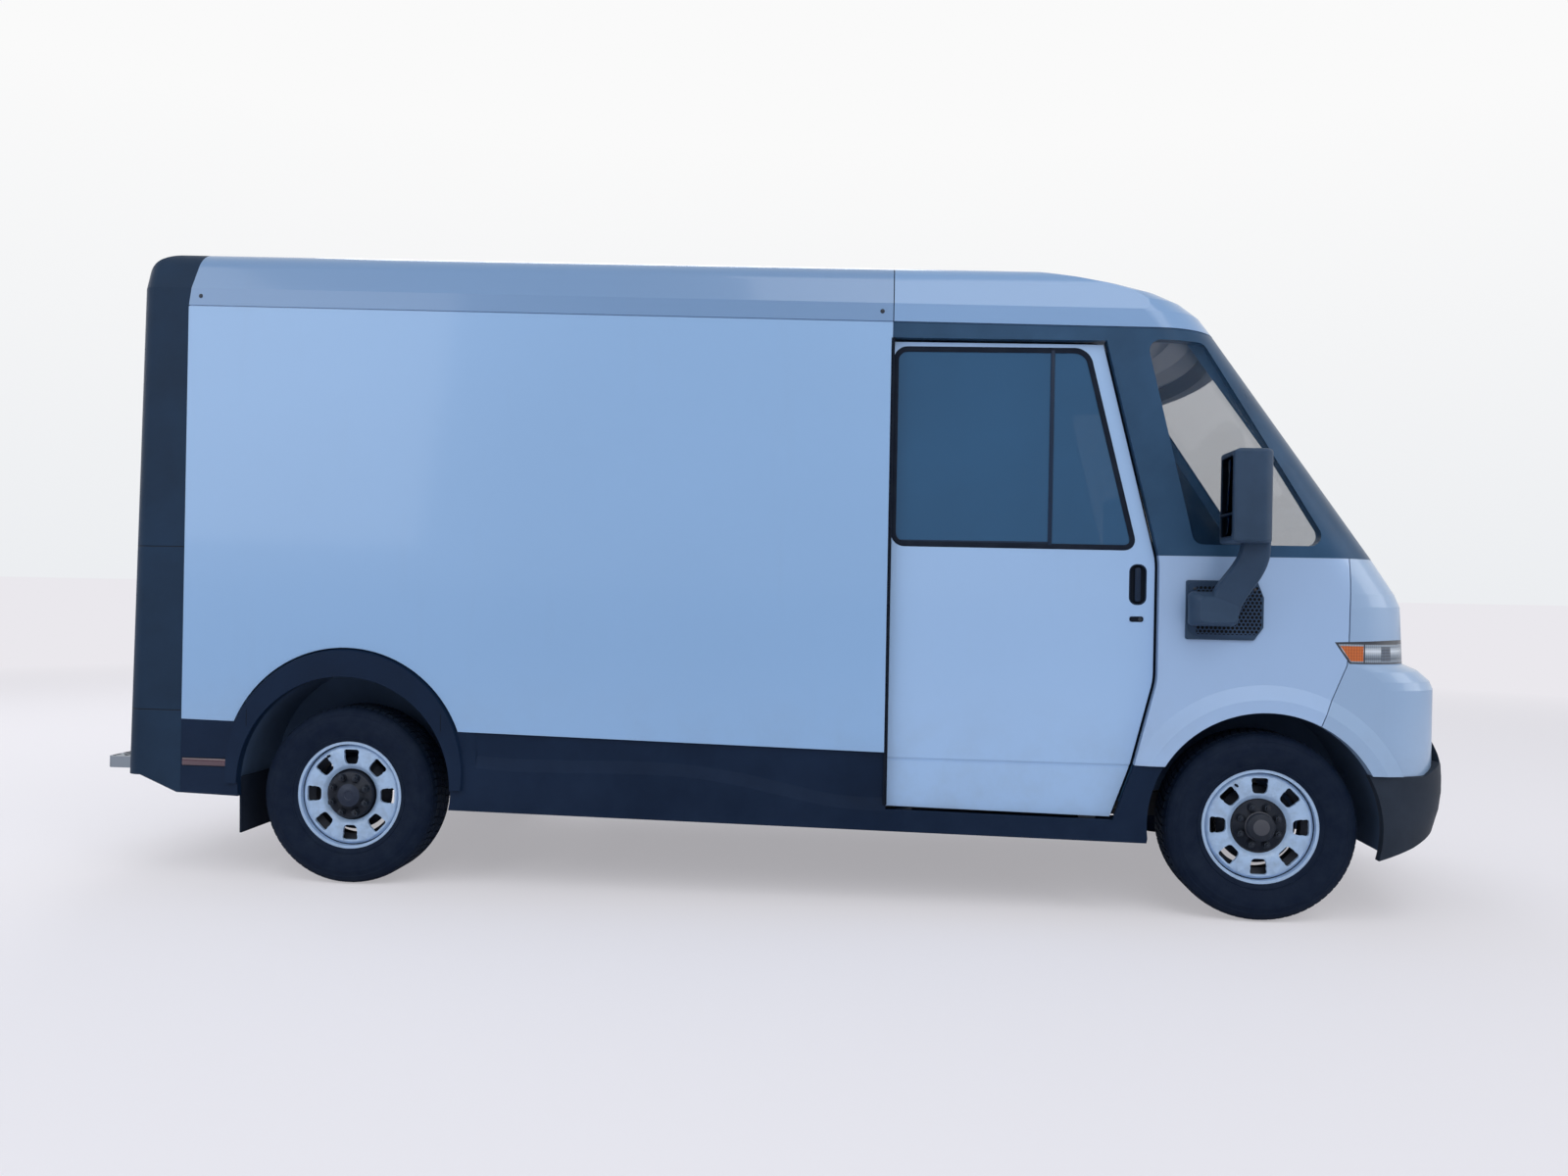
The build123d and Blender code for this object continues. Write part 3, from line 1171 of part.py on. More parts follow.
def front_suspension():
    """Subframe, upper and lower wishbones and spring towers; the ball joints' seats carry the knuckles."""
    rail_in = RAIL_Y - RAIL_WIDTH / 2
    top = CAB_FLOOR_Z - CAB_FLOOR_THICK - 110 - 2 * SEAT_GAP
    low = top - 90
    body = block(WHEELBASE - 190, WHEELBASE - 130, -rail_in - 60, rail_in + 60, low, top)
    body += block(WHEELBASE + 130, WHEELBASE + 190, -rail_in - 60, rail_in + 60, low, top)
    for side in (-1, 1):
        body += block(WHEELBASE - 190, WHEELBASE + 190, side * (RAIL_Y - 55), side * (RAIL_Y + 5), low, top)
        seat_low = (WHEELBASE, side * KINGPIN_Y, KINGPIN_LOW_Z)
        seat_high = (WHEELBASE, side * KINGPIN_Y, KINGPIN_HIGH_Z)
        for dx in (-160, 160):
            body += tube((WHEELBASE + dx, side * (RAIL_Y - 15), low + 40), (*seat_low[:2], seat_low[2] - 6), 15)
        body += Pos(*seat_low) * Cylinder(30, 36)
        tower_in = HOUSE_INNER_Y - 43
        tower_out = HOUSE_INNER_Y - 7
        body += block(WHEELBASE - 60, WHEELBASE + 60, side * tower_in, side * tower_out, top - 40, 700)
        body += block(WHEELBASE - 60, WHEELBASE + 60, side * (RAIL_Y - 35), side * (tower_out - 8), top - 60, top)
        for dx in (-50, 50):
            body += tube((WHEELBASE + dx, side * (tower_out + 2), KINGPIN_HIGH_Z + 30), seat_high, 15)
        body += Pos(*seat_high) * Cylinder(26, 32)
    return body


def knuckle():
    """Right steering knuckle: upright between the ball joints, stub axle and steering arm."""
    y = -KINGPIN_Y
    low = KINGPIN_LOW_Z + 18 + BALL_GAP
    high = KINGPIN_HIGH_Z - 16 - BALL_GAP
    upright = Pos(WHEELBASE, y, (low + high) / 2) * Cylinder(24, high - low)
    upright += disc(WHEELBASE, TYRE_RADIUS, 58, y - 8, y + 30)
    stub = disc(WHEELBASE, TYRE_RADIUS, STUB_RADIUS, -WHEEL_Y - STUB_REACH, y)
    arm = tube((WHEELBASE, y + 10, TYRE_RADIUS - 60), (WHEELBASE - 130, y + 40, TYRE_RADIUS - 70), 14)
    return upright + stub + arm


# ---------------------------------------------------------------- wheels
def tyre():
    """Tyre standing on the wheel's axis, turned round Y at the origin."""
    bead = RIM_WIDTH / 2 - 6 - SEAT_GAP
    wall = TYRE_WIDTH / 2
    side = [
        (FLANGE_RADIUS - 4, bead),
        (FLANGE_RADIUS + 6, bead),
        (FLANGE_RADIUS + 22, wall - 8),
        (FLANGE_RADIUS + 56, wall),
        (FLANGE_RADIUS + 92, wall - 2),
        (TYRE_RADIUS - 26, wall - 10),
        (TYRE_RADIUS - 5, wall - 26),
        (TYRE_RADIUS, wall - 62),
    ]
    profile = make_face(Polyline(
        [(r, y, 0) for r, y in side] + [(r, -y, 0) for r, y in reversed(side)], close=True
    ))
    return revolve(profile, Axis.Y)


def drum(radius, y, depth):
    """A cylinder on the wheel's axis, centred at y."""
    return Pos(0, y, 0) * Rot(90, 0, 0) * Cylinder(radius, depth)


def wheel(rear):
    """Steel wheel with eight hand holes, its hub and brake disc; the outer face looks to -Y."""
    half = RIM_WIDTH / 2
    well = FLANGE_RADIUS - 48
    seat = FLANGE_RADIUS - 4 - SEAT_GAP
    rim = make_face(Polyline([
        (FLANGE_RADIUS, -half, 0), (FLANGE_RADIUS, -half + 4, 0), (seat, -half + 6, 0), (seat - 3, -half + 44, 0),
        (well, -half + 62, 0), (well, half - 84, 0), (seat - 3, half - 58, 0), (seat, half - 6, 0),
        (FLANGE_RADIUS, half - 4, 0), (FLANGE_RADIUS, half, 0), (seat - 8, half, 0), (seat - 9, half - 58, 0),
        (well - 6, half - 84, 0), (well - 6, -half + 62, 0), (seat - 9, -half + 40, 0), (seat - 8, -half, 0),
    ], close=True))
    body = revolve(rim, Axis.Y)
    face_y = -half + 15
    hub_r = 104
    dish = make_face(Polyline([
        (seat - 7, face_y + 26, 0), (seat - 7, face_y + 36, 0), (196, face_y + 8, 0), (128, face_y + 12, 0),
        (hub_r, face_y + 30, 0), (60, face_y + 30, 0), (60, face_y + 22, 0), (hub_r - 4, face_y + 22, 0),
        (122, face_y + 4, 0), (132, face_y - 3, 0), (206, face_y - 3, 0), (216, face_y + 4, 0),
    ], close=True))
    plate = revolve(dish, Axis.Y)
    hand_hole = rounded(side_face([(134, -27), (184, -37), (184, 37), (134, 27)]), 17)
    for i in range(8):
        plate -= Rot(0, i * 45, 0) * across(hand_hole, -200, 200)
    body += plate
    if rear:
        body += chamfer(drum(hub_r, face_y + 8, 44).edges(), 8) + drum(62, face_y - 18, 12)
    else:
        body += drum(hub_r, face_y + 22, 24)
        body += chamfer(drum(58, face_y - 4, 60).edges(), 6)
    body += drum(160, -19, 22) + drum(78, -30, 54)
    return body - drum(HUB_BORE, 40, 200)


def corners():
    """Name, side, x and whether it is on the rear axle, for the four wheels."""
    return [
        ("front_right", -1, WHEELBASE, False),
        ("front_left", 1, WHEELBASE, False),
        ("rear_right", -1, 0, True),
        ("rear_left", 1, 0, True),
    ]


# ---------------------------------------------------------------- build
def write_pair(shape, stem, suffix=""):
    """Write a right-hand piece and its mirror image."""
    write(shape, f"{stem}_right{suffix}")
    write(other_side(shape), f"{stem}_left{suffix}")


def main():
    """Build every piece and write it."""
    os.makedirs("parts", exist_ok=True)
    shell = front_lower_shell()
    write_pair(cargo_side(), "cargo_side")
    write_pair(sill_cladding(), "sill_cladding")
    write_pair(door(), "door")
    write_pair(door_glass(), "door", "_glass")
    write_pair(front_fender(shell), "front_fender")
    write_pair(mirror_assembly(), "mirror")
    write_pair(knuckle(), "knuckle")
    write(front_fascia(shell), "front_fascia")
    write(both_sides(front_house()) + both_sides(rear_house()), "wheelhouses")
    for maker in (
        cargo_roof, rear_surround, rear_roll_door, rear_step, tail_lamps, floor, bulkhead, bulkhead_door,
        headlamps, front_bumper, windscreen, quarter_glass, cab_frame, cab_roof, dashboard, steering_wheel,
        seat_base, seat_cushions, mud_flaps, chassis_frame, battery_pack, rear_axle, front_suspension,
    ):
        write(maker(), maker.__name__)
    rubber = tyre()
    for name, side, x, rear in corners():
        steel = wheel(rear) if side < 0 else other_side(wheel(rear))
        place = Pos(x, side * WHEEL_Y, TYRE_RADIUS)
        write(place * rubber, f"tyre_{name}")
        write(place * steel, f"wheel_{name}")


if __name__ == "__main__":
    main()
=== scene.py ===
"""Finishes and fine detail of an electric step-in cargo van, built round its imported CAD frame."""

import logging
import math
from dataclasses import dataclass
from enum import Enum
from typing import Any, Optional, Sequence, Union

import bmesh
import bpy
from mathutils import Matrix, Vector


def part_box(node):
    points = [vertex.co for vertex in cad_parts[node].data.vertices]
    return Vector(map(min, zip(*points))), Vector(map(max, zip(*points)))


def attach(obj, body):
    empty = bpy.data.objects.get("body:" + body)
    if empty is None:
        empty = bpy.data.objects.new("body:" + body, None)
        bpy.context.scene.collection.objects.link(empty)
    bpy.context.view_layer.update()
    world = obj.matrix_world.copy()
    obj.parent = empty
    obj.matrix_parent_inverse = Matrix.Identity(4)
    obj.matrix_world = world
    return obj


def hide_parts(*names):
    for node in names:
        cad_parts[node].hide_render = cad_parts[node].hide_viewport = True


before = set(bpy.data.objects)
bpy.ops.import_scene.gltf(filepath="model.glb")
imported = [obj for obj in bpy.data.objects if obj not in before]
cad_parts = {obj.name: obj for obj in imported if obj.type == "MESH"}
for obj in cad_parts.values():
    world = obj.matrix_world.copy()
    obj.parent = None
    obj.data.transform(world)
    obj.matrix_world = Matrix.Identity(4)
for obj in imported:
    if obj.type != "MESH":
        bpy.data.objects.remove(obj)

logging.basicConfig(level=logging.INFO, format="%(message)s")
LOG = logging.getLogger("van")

Colour = tuple[float, float, float]
Point = tuple[float, float, float]
Pair = tuple[float, float]
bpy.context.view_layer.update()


def middle(node: str) -> Vector:
    """The middle of a CAD node's box at rest."""
    low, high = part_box(node)
    return (Vector(low) + Vector(high)) / 2


REAR_AXLE = middle("wheel_rear_right").x
FRONT_AXLE = middle("wheel_front_right").x


def srgb(red: int, green: int, blue: int) -> Colour:
    """Turn a display colour, 0 to 255 a channel, into scene-linear light."""
    def linear(level: int) -> float:
        """One channel, by the sRGB curve."""
        share = level / 255.0
        return share / 12.92 if share <= 0.04045 else ((share + 0.055) / 1.055) ** 2.4
    return linear(red), linear(green), linear(blue)


def toned(colour: Colour, factor: float, lift: float = 0.0) -> Colour:
    """A colour made lighter or darker by a factor, within full light."""
    return tuple(min(1.0, channel * factor + lift) for channel in colour)


def oblong(half: float, rise: float) -> tuple[Pair, ...]:
    """The corners of an oblong about its middle, from its half width and half height."""
    return (-half, -rise), (half, -rise), (half, rise), (-half, rise)


# ---------------------------------------------------------------- shader writing
class Signal:
    """A number that varies over a surface: a node socket with arithmetic."""

    def __init__(self, nodes: "Nodes", socket: bpy.types.NodeSocket) -> None:
        """Wrap one output socket of a node tree."""
        self.nodes = nodes
        self.socket = socket

    def __add__(self, other: "Number") -> "Signal":
        """Sum."""
        return self.nodes.maths("ADD", self, other)

    __radd__ = __add__

    def __mul__(self, other: "Number") -> "Signal":
        """Product."""
        return self.nodes.maths("MULTIPLY", self, other)

    __rmul__ = __mul__

    def __sub__(self, other: "Number") -> "Signal":
        """Difference."""
        return self.nodes.maths("SUBTRACT", self, other)

    def __rsub__(self, other: float) -> "Signal":
        """Difference from a plain number."""
        return self.nodes.maths("SUBTRACT", other, self)

    def __truediv__(self, other: "Number") -> "Signal":
        """Quotient."""
        return self.nodes.maths("DIVIDE", self, other)

    def __gt__(self, other: "Number") -> "Signal":
        """One where this is the greater, else nought."""
        return self.nodes.maths("GREATER_THAN", self, other)

    def __lt__(self, other: "Number") -> "Signal":
        """One where this is the smaller, else nought."""
        return self.nodes.maths("LESS_THAN", self, other)

    def __abs__(self) -> "Signal":
        """Magnitude."""
        return self.nodes.maths("ABSOLUTE", self)

    def least(self, other: "Number") -> "Signal":
        """The smaller of this and another."""
        return self.nodes.maths("MINIMUM", self, other)

    def most(self, other: "Number") -> "Signal":
        """The greater of this and another."""
        return self.nodes.maths("MAXIMUM", self, other)

    def limited(self) -> "Signal":
        """Clamped between nought and one."""
        return self.most(0.0).least(1.0)

    def near(self, place: float, half_width: float) -> "Signal":
        """One at a place, falling to nought a half width away."""
        return (1.0 - abs(self - place) / half_width).limited()

    def between(self, low: float, high: float) -> "Signal":
        """One between two values, else nought."""
        return (self > low) * (self < high)

    def ramp(self, low: float, high: float) -> "Signal":
        """Nought at low, one at high and straight between."""
        return ((self - low) / (high - low)).limited()


Number = Union[Signal, float]
Input = Union[Signal, bpy.types.NodeSocket, float, Sequence[float]]


class Nodes:
    """A node tree, written from type names, settings and sockets."""

    def __init__(self, tree: bpy.types.NodeTree) -> None:
        """Take over a tree and empty it."""
        self.tree = tree
        self.tree.nodes.clear()

    def node(
        self,
        kind: str,
        settings: Optional[dict[str, Any]] = None,
        inputs: Optional[dict[Union[str, int], Input]] = None,
    ) -> bpy.types.Node:
        """Add a node.

        Args:
            kind: Blender's type name for the node.
            settings: Values that are set before the sockets, such as a Math node's operation. A
                colour ramp's two stops are given as "stops", each a position and a colour.
            inputs: A value or a link for each socket, by name or by number.

        Returns:
            The new node.
        """
        made = self.tree.nodes.new(kind)
        for key, value in (settings or {}).items():
            if key == "stops":
                for stop, (position, colour) in zip(made.color_ramp.elements, value):
                    stop.position = position
                    stop.color = (*colour, 1.0)
            else:
                setattr(made, key, value)
        for key, value in (inputs or {}).items():
            self.plug(made.inputs[key], value)
        return made

    def plug(self, socket: bpy.types.NodeSocket, value: Input) -> None:
        """Set a socket to a value, or link it."""
        if isinstance(value, Signal):
            self.tree.links.new(value.socket, socket)
        elif isinstance(value, bpy.types.NodeSocket):
            self.tree.links.new(value, socket)
        elif isinstance(value, (int, float)):
            socket.default_value = value
        else:
            room = len(socket.default_value)
            socket.default_value = (tuple(value) + (1.0,))[:room]

    def maths(self, operation: str, *values: Number) -> Signal:
        """The outcome of a Math node over the values."""
        made = self.node("ShaderNodeMath", {"operation": operation}, dict(enumerate(values)))
        return Signal(self, made.outputs[0])


class Graph(Nodes):
    """One material's nodes, ending in a Principled shader."""

    def __init__(self, name: str) -> None:
        """Make an empty material of that name with its shader and output."""
        self.material = bpy.data.materials.new(name)
        self.material.use_nodes = True
        super().__init__(self.material.node_tree)
        self.output = self.node("ShaderNodeOutputMaterial")
        self.shader = self.node("ShaderNodeBsdfPrincipled")
        self.tree.links.new(self.shader.outputs[0], self.output.inputs["Surface"])
        self.coordinates = self.node("ShaderNodeTexCoord").outputs["Object"]

    def axes(self) -> tuple[Signal, Signal, Signal]:
        """The surface point's x, y and z in metres."""
        split = self.node("ShaderNodeSeparateXYZ", None, {0: self.coordinates})
        return tuple(Signal(self, out) for out in split.outputs)

    def noise(
        self, scale: float, detail: float = 3.0, rough: float = 0.5, stretch: Point = (1, 1, 1)
    ) -> Signal:
        """Fractal noise of a scale per metre, stretched along the axes."""
        vector = self.coordinates
        if stretch != (1, 1, 1):
            vector = self.node("ShaderNodeMapping", None, {"Vector": vector, "Scale": stretch}).outputs[0]
        inputs = {"Vector": vector, "Scale": scale, "Detail": detail, "Roughness": rough}
        return Signal(self, self.node("ShaderNodeTexNoise", None, inputs).outputs["Fac"])

    def cells(self, scale: float) -> Signal:
        """Distance to the edges of random cells, of a scale per metre."""
        inputs = {"Vector": self.coordinates, "Scale": scale}
        made = self.node("ShaderNodeTexVoronoi", {"feature": "DISTANCE_TO_EDGE"}, inputs)
        return Signal(self, made.outputs["Distance"])

    def wrapped(self, value: Signal, pitch: float) -> Signal:
        """A value's signed distance from the nearest multiple of a pitch."""
        return self.maths("WRAP", value, pitch / 2, -pitch / 2)

    def ridges(self, value: Signal, pitch: float) -> Signal:
        """Nought at each multiple of a pitch, rising to one halfway between."""
        return abs(self.wrapped(value, pitch)).ramp(0.0, pitch / 2)

    def about_axles(self) -> tuple[Signal, Signal]:
        """Distance from the nearer axle, and the angle round it."""
        x, _, z = self.axes()
        rear = x < (REAR_AXLE + FRONT_AXLE) / 2
        across = x - (rear * REAR_AXLE + (1.0 - rear) * FRONT_AXLE)
        up = z - middle("wheel_rear_right").z
        return self.maths("SQRT", across * across + up * up), self.maths("ARCTAN2", up, across)

    def blend(self, factor: Input, first: Input, second: Input) -> bpy.types.NodeSocket:
        """Mix two colours by a factor."""
        made = self.node("ShaderNodeMix", {"data_type": "RGBA"}, {0: factor, 6: first, 7: second})
        return made.outputs[2]

    def mottle(self, factor: Input, colour: Colour, dark: float, light: float) -> bpy.types.NodeSocket:
        """Vary a colour between a darker and a lighter tone of itself by a factor."""
        return self.blend(factor, toned(colour, dark), toned(colour, light))

    def bump(self, height: Signal, strength: float, distance: float) -> None:
        """Feed the shader's normal from a height."""
        inputs = {"Height": height, "Strength": strength, "Distance": distance}
        made = self.node("ShaderNodeBump", None, inputs)
        self.tree.links.new(made.outputs[0], self.shader.inputs["Normal"])

    def surface(self, **inputs: Input) -> bpy.types.Material:
        """Set the shader's sockets, named with underscores for spaces, and return the material."""
        for key, value in inputs.items():
            self.plug(self.shader.inputs[key.replace("_", " ")], value)
        return self.material
# ---------------------------------------------------------------- modelling
def at(x: float, y: float, z: float) -> Vector:
    """A point given in millimetres ahead of the rear axle, to the van's left and above the ground."""
    return Vector((REAR_AXLE + x / 1000.0, y / 1000.0, z / 1000.0))


def ahead(x: float, y: float, z: float) -> Vector:
    """A point given in millimetres ahead of the front axle, to the van's left and above the ground."""
    return Vector((FRONT_AXLE + x / 1000.0, y / 1000.0, z / 1000.0))


OUTWARDS = Vector((0.0, -1.0, 0.0))
INWARDS = Vector((0.0, 1.0, 0.0))
SAME_POINT = 1e-6
SHARP = 0.9


def merge(part: bmesh.types.BMesh) -> None:
    """Merge a part's doubled points."""
    bmesh.ops.remove_doubles(part, verts=part.verts[:], dist=SAME_POINT)


def stand(axis: Vector, spot: Vector) -> Matrix:
    """The placing that turns the upright axis to another and moves the origin to a spot."""
    return Matrix.Translation(spot) @ axis.to_track_quat("Z", "Y").to_matrix().to_4x4()


def settle(piece: bpy.types.Object, crease: float = 180.0) -> None:
    """Take a piece's modifiers into its mesh, with edges sharper than a crease in degrees kept crisp."""
    graph = bpy.context.evaluated_depsgraph_get()
    mesh = bpy.data.meshes.new_from_object(piece.evaluated_get(graph), depsgraph=graph)
    piece.modifiers.clear()
    mesh.shade_smooth()
    mesh.set_sharp_from_angle(angle=math.radians(crease))
    piece.data = mesh


class Form:
    """A mesh being shaped in the van's own frame."""

    def __init__(self) -> None:
        """Start with an empty mesh."""
        self.mesh = bmesh.new()

    @classmethod
    def of_node(cls, node: str) -> "Form":
        """Start from a merged copy of a CAD node's mesh."""
        form = cls()
        form.mesh.from_mesh(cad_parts[node].data)
        merge(form.mesh)
        return form

    def add(self, part: bmesh.types.BMesh) -> "Form":
        """Add a part as it is, and free it."""
        carrier = bpy.data.meshes.new("part")
        part.to_mesh(carrier)
        part.free()
        self.mesh.from_mesh(carrier)
        bpy.data.meshes.remove(carrier)
        return self

    def _take(self, part: bmesh.types.BMesh) -> "Form":
        """Merge a part's doubles, turn its faces outwards and add it."""
        merge(part)
        bmesh.ops.recalc_face_normals(part, faces=part.faces[:])
        return self.add(part)

    def closed(self) -> "Form":
        """Merge the whole form's doubles and turn its faces outwards."""
        merge(self.mesh)
        bmesh.ops.recalc_face_normals(self.mesh, faces=self.mesh.faces[:])
        return self

    def block(self, one: Vector, two: Vector, edge: float = 0.0, segments: int = 2) -> "Form":
        """Add a box between two corners, with its edges rounded."""
        part = bmesh.new()
        bmesh.ops.create_cube(part, size=1.0)
        size = Vector([abs(a - b) for a, b in zip(one, two)])
        bmesh.ops.scale(part, vec=size, verts=part.verts[:])
        bmesh.ops.translate(part, vec=(one + two) / 2, verts=part.verts[:])
        self._soften(part, part.edges[:], min(edge, min(size) * 0.45), segments)
        return self._take(part)

    @staticmethod
    def _soften(
        part: bmesh.types.BMesh, edges: Sequence[bmesh.types.BMEdge], amount: float, segments: int
    ) -> None:
        """Round some edges of a part."""
        if amount > 0.0:
            bmesh.ops.bevel(
                part, geom=list(edges), offset=amount, offset_type="OFFSET", segments=segments, profile=0.5,
                affect="EDGES", material=-1, clamp_overlap=True,
            )

    def rod(
        self, start: Vector, end: Vector, radius: float, tip: Optional[float] = None, sides: int = 24,
        edge: float = 0.0,
    ) -> "Form":
        """Add a round or many-sided bar.

        Args:
            start: The middle of one end.
            end: The middle of the other end.
            radius: Radius at the start.
            tip: Radius at the end, the same when left out.
            sides: Number of flats round it.
            edge: Rounding of both rims.

        Returns:
            This form.
        """
        part = bmesh.new()
        along = end - start
        bmesh.ops.create_cone(
            part, cap_ends=True, segments=sides, radius1=radius, radius2=radius if tip is None else tip,
            depth=along.length,
        )
        rims = [e for e in part.edges if any(len(f.verts) == sides for f in e.link_faces)]
        self._soften(part, rims, edge, 2)
        bmesh.ops.transform(part, matrix=stand(along, (start + end) / 2), verts=part.verts[:])
        return self._take(part)

    def turned(
        self, profile: Sequence[tuple[float, float]], centre: Vector, axis: Vector, steps: int = 48,
        closed: bool = False,
    ) -> "Form":
        """Spin a profile round an axis.

        Args:
            profile: Pairs of radius and height along the axis, in metres.
            centre: Where height is nought.
            axis: Direction of the axis.
            steps: Divisions of the full turn.
            closed: Whether the profile's last point joins its first.

        Returns:
            This form.
        """
        part = bmesh.new()
        points = [part.verts.new((radius, 0.0, height)) for radius, height in profile]
        edges = [part.edges.new(pair) for pair in zip(points, points[1:])]
        if closed:
            edges.append(part.edges.new((points[-1], points[0])))
        bmesh.ops.spin(
            part, geom=points + edges, cent=(0, 0, 0), axis=(0, 0, 1), dvec=(0, 0, 0), angle=math.tau,
            steps=steps, use_merge=True, use_duplicate=False,
        )
        bmesh.ops.transform(part, matrix=stand(axis, centre), verts=part.verts[:])
        return self._take(part)

    def plate(
        self, outline: Sequence[Vector], depth: Vector, corner: Union[float, Sequence[float]] = 0.0,
        rim: float = 0.0, edge: float = 0.0, segments: int = 5,
    ) -> "Form":
        """Add a flat shape with a thickness.

        Args:
            outline: Its corners, in order.
            depth: Direction and length of its thickness.
            corner: How far each corner is cut back by its rounding, one value or one for each.
            rim: Width of the ring that is kept when only a rim is wanted.
            edge: Rounding of every edge of the plate.
            segments: Facets of each rounded corner.

        Returns:
            This form.
        """
        part = bmesh.new()
        points = [part.verts.new(point) for point in outline]
        part.faces.new(points)
        cuts = [corner] * len(points) if isinstance(corner, (int, float)) else corner
        for point, cut in zip(points, cuts):
            if cut > 0.0:
                bmesh.ops.bevel(
                    part, geom=[point], offset=cut, offset_type="OFFSET", segments=segments, profile=0.5,
                    affect="VERTICES", material=-1, clamp_overlap=True,
                )
        if rim > 0.0:
            inner = part.faces[:]
            bmesh.ops.inset_region(part, faces=inner, thickness=rim, use_boundary=True, use_even_offset=True)
            bmesh.ops.delete(part, geom=inner, context="FACES")
        grown = bmesh.ops.extrude_face_region(part, geom=part.faces[:])["geom"]
        bmesh.ops.translate(part, vec=depth, verts=[g for g in grown if isinstance(g, bmesh.types.BMVert)])
        bmesh.ops.recalc_face_normals(part, faces=part.faces[:])
        if edge > 0.0:
            sharp = [e for e in part.edges if len(e.link_faces) == 2 and e.calc_face_angle() > SHARP]
            self._soften(part, sharp, edge, 2)
        return self._take(part)

    def pipe(self, path: Sequence[Vector], radius: float, smooth: bool = True, sides: int = 3) -> "Form":
        """Add a round bar along a path, smoothly curved or with straight runs."""
        curve = bpy.data.curves.new("path", "CURVE")
        curve.dimensions = "3D"
        curve.bevel_depth = radius
        curve.bevel_resolution = sides
        curve.use_fill_caps = True
        spline = curve.splines.new("NURBS" if smooth else "POLY")
        spline.points.add(len(path) - 1)
        for point, place in zip(spline.points, path):
            point.co = (*place, 1.0)
        if smooth:
            spline.order_u = 3
            spline.use_endpoint_u = True
            spline.resolution_u = 8
        holder = bpy.data.objects.new("path", curve)
        made = bpy.data.meshes.new_from_object(holder)
        bpy.data.objects.remove(holder)
        bpy.data.curves.remove(curve)
        part = bmesh.new()
        part.from_mesh(made)
        bpy.data.meshes.remove(made)
        return self._take(part)

    def flipped(self) -> "Form":
        """Turn the whole form into its mirror image on the van's other side."""
        bmesh.ops.scale(self.mesh, vec=(1.0, -1.0, 1.0), verts=self.mesh.verts[:])
        bmesh.ops.reverse_faces(self.mesh, faces=self.mesh.faces[:])
        return self

    def doubled(self) -> "Form":
        """Add the mirror image on the van's other side."""
        geometry = self.mesh.verts[:] + self.mesh.edges[:] + self.mesh.faces[:]
        made = bmesh.ops.duplicate(self.mesh, geom=geometry)
        points = [item for item in made["geom"] if isinstance(item, bmesh.types.BMVert)]
        faces = [item for item in made["geom"] if isinstance(item, bmesh.types.BMFace)]
        bmesh.ops.scale(self.mesh, vec=(1.0, -1.0, 1.0), verts=points)
        bmesh.ops.reverse_faces(self.mesh, faces=faces)
        return self

    def side(self, right: bool) -> "Form":
        """Keep the form on the right, where it is drawn, or move it to the left."""
        return self if right else self.flipped()

    def done(
        self, name: str, material: bpy.types.Material, body: str, crease: float = 35.0
    ) -> bpy.types.Object:
        """Turn the form into a finished piece.

        Args:
            name: The piece's name.
            material: Its finish.
            body: The moving body that it rides on.
            crease: Edges sharper than this many degrees stay crisp.

        Returns:
            The new object.
        """
        mesh = bpy.data.meshes.new(name)
        self.mesh.to_mesh(mesh)
        self.mesh.free()
        mesh.materials.append(material)
        mesh.shade_smooth()
        mesh.set_sharp_from_angle(angle=math.radians(crease))
        piece = bpy.data.objects.new(name, mesh)
        bpy.context.scene.collection.objects.link(piece)
        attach(piece, body)
        LOG.info("%s: %d faces on %s", name, len(mesh.polygons), body)
        return piece


# ---------------------------------------------------------------- finishes
MATT_GLOSS = 0.12
RUBBER_GLOSS = 0.1


@dataclass(frozen=True)
class Paint:
    """Coated body paint with a faint orange peel and a film of road dust low down."""

    name: str
    colour: Colour
    dust: Colour = srgb(112, 116, 118)
    dust_top: float = 0.95
    roughness: float = 0.34
    shoes: bool = False
    shoe_x: float = 2.335
    shoe_z: float = 0.4305
    shoe_slope: float = 0.01494

    def build(self) -> bpy.types.Material:
        """Write the material, dark below the door's foot where it has runner shoes."""
        graph = Graph(self.name)
        x, _, height = graph.axes()
        film = graph.noise(5.0, 6.0, 0.62)
        streak = graph.noise(9.0, 5.0, 0.6, (1.0, 1.0, 0.12))
        grime = (film - 0.42).limited() * (1.0 - height.ramp(0.35, self.dust_top)) * 0.9
        stain = (streak - 0.58).limited() * 0.16
        body = graph.mottle(graph.noise(0.55, 2.0).ramp(0.3, 0.7), self.colour, 0.965, 1.02)
        colour = graph.blend((grime + stain).limited(), body, self.dust)
        if self.shoes:
            foot = self.shoe_z - (x - (REAR_AXLE + self.shoe_x)) * self.shoe_slope
            colour = graph.blend(height - foot < 0.0, colour, srgb(24, 32, 44))
        graph.bump(graph.noise(420.0, 2.0) * 0.06, 1.0, 0.0006)
        return graph.surface(
            Base_Color=colour,
            Roughness=self.roughness + grime * 0.4 + film * 0.05,
            Coat_Weight=0.5,
            Coat_Roughness=0.08,
        )


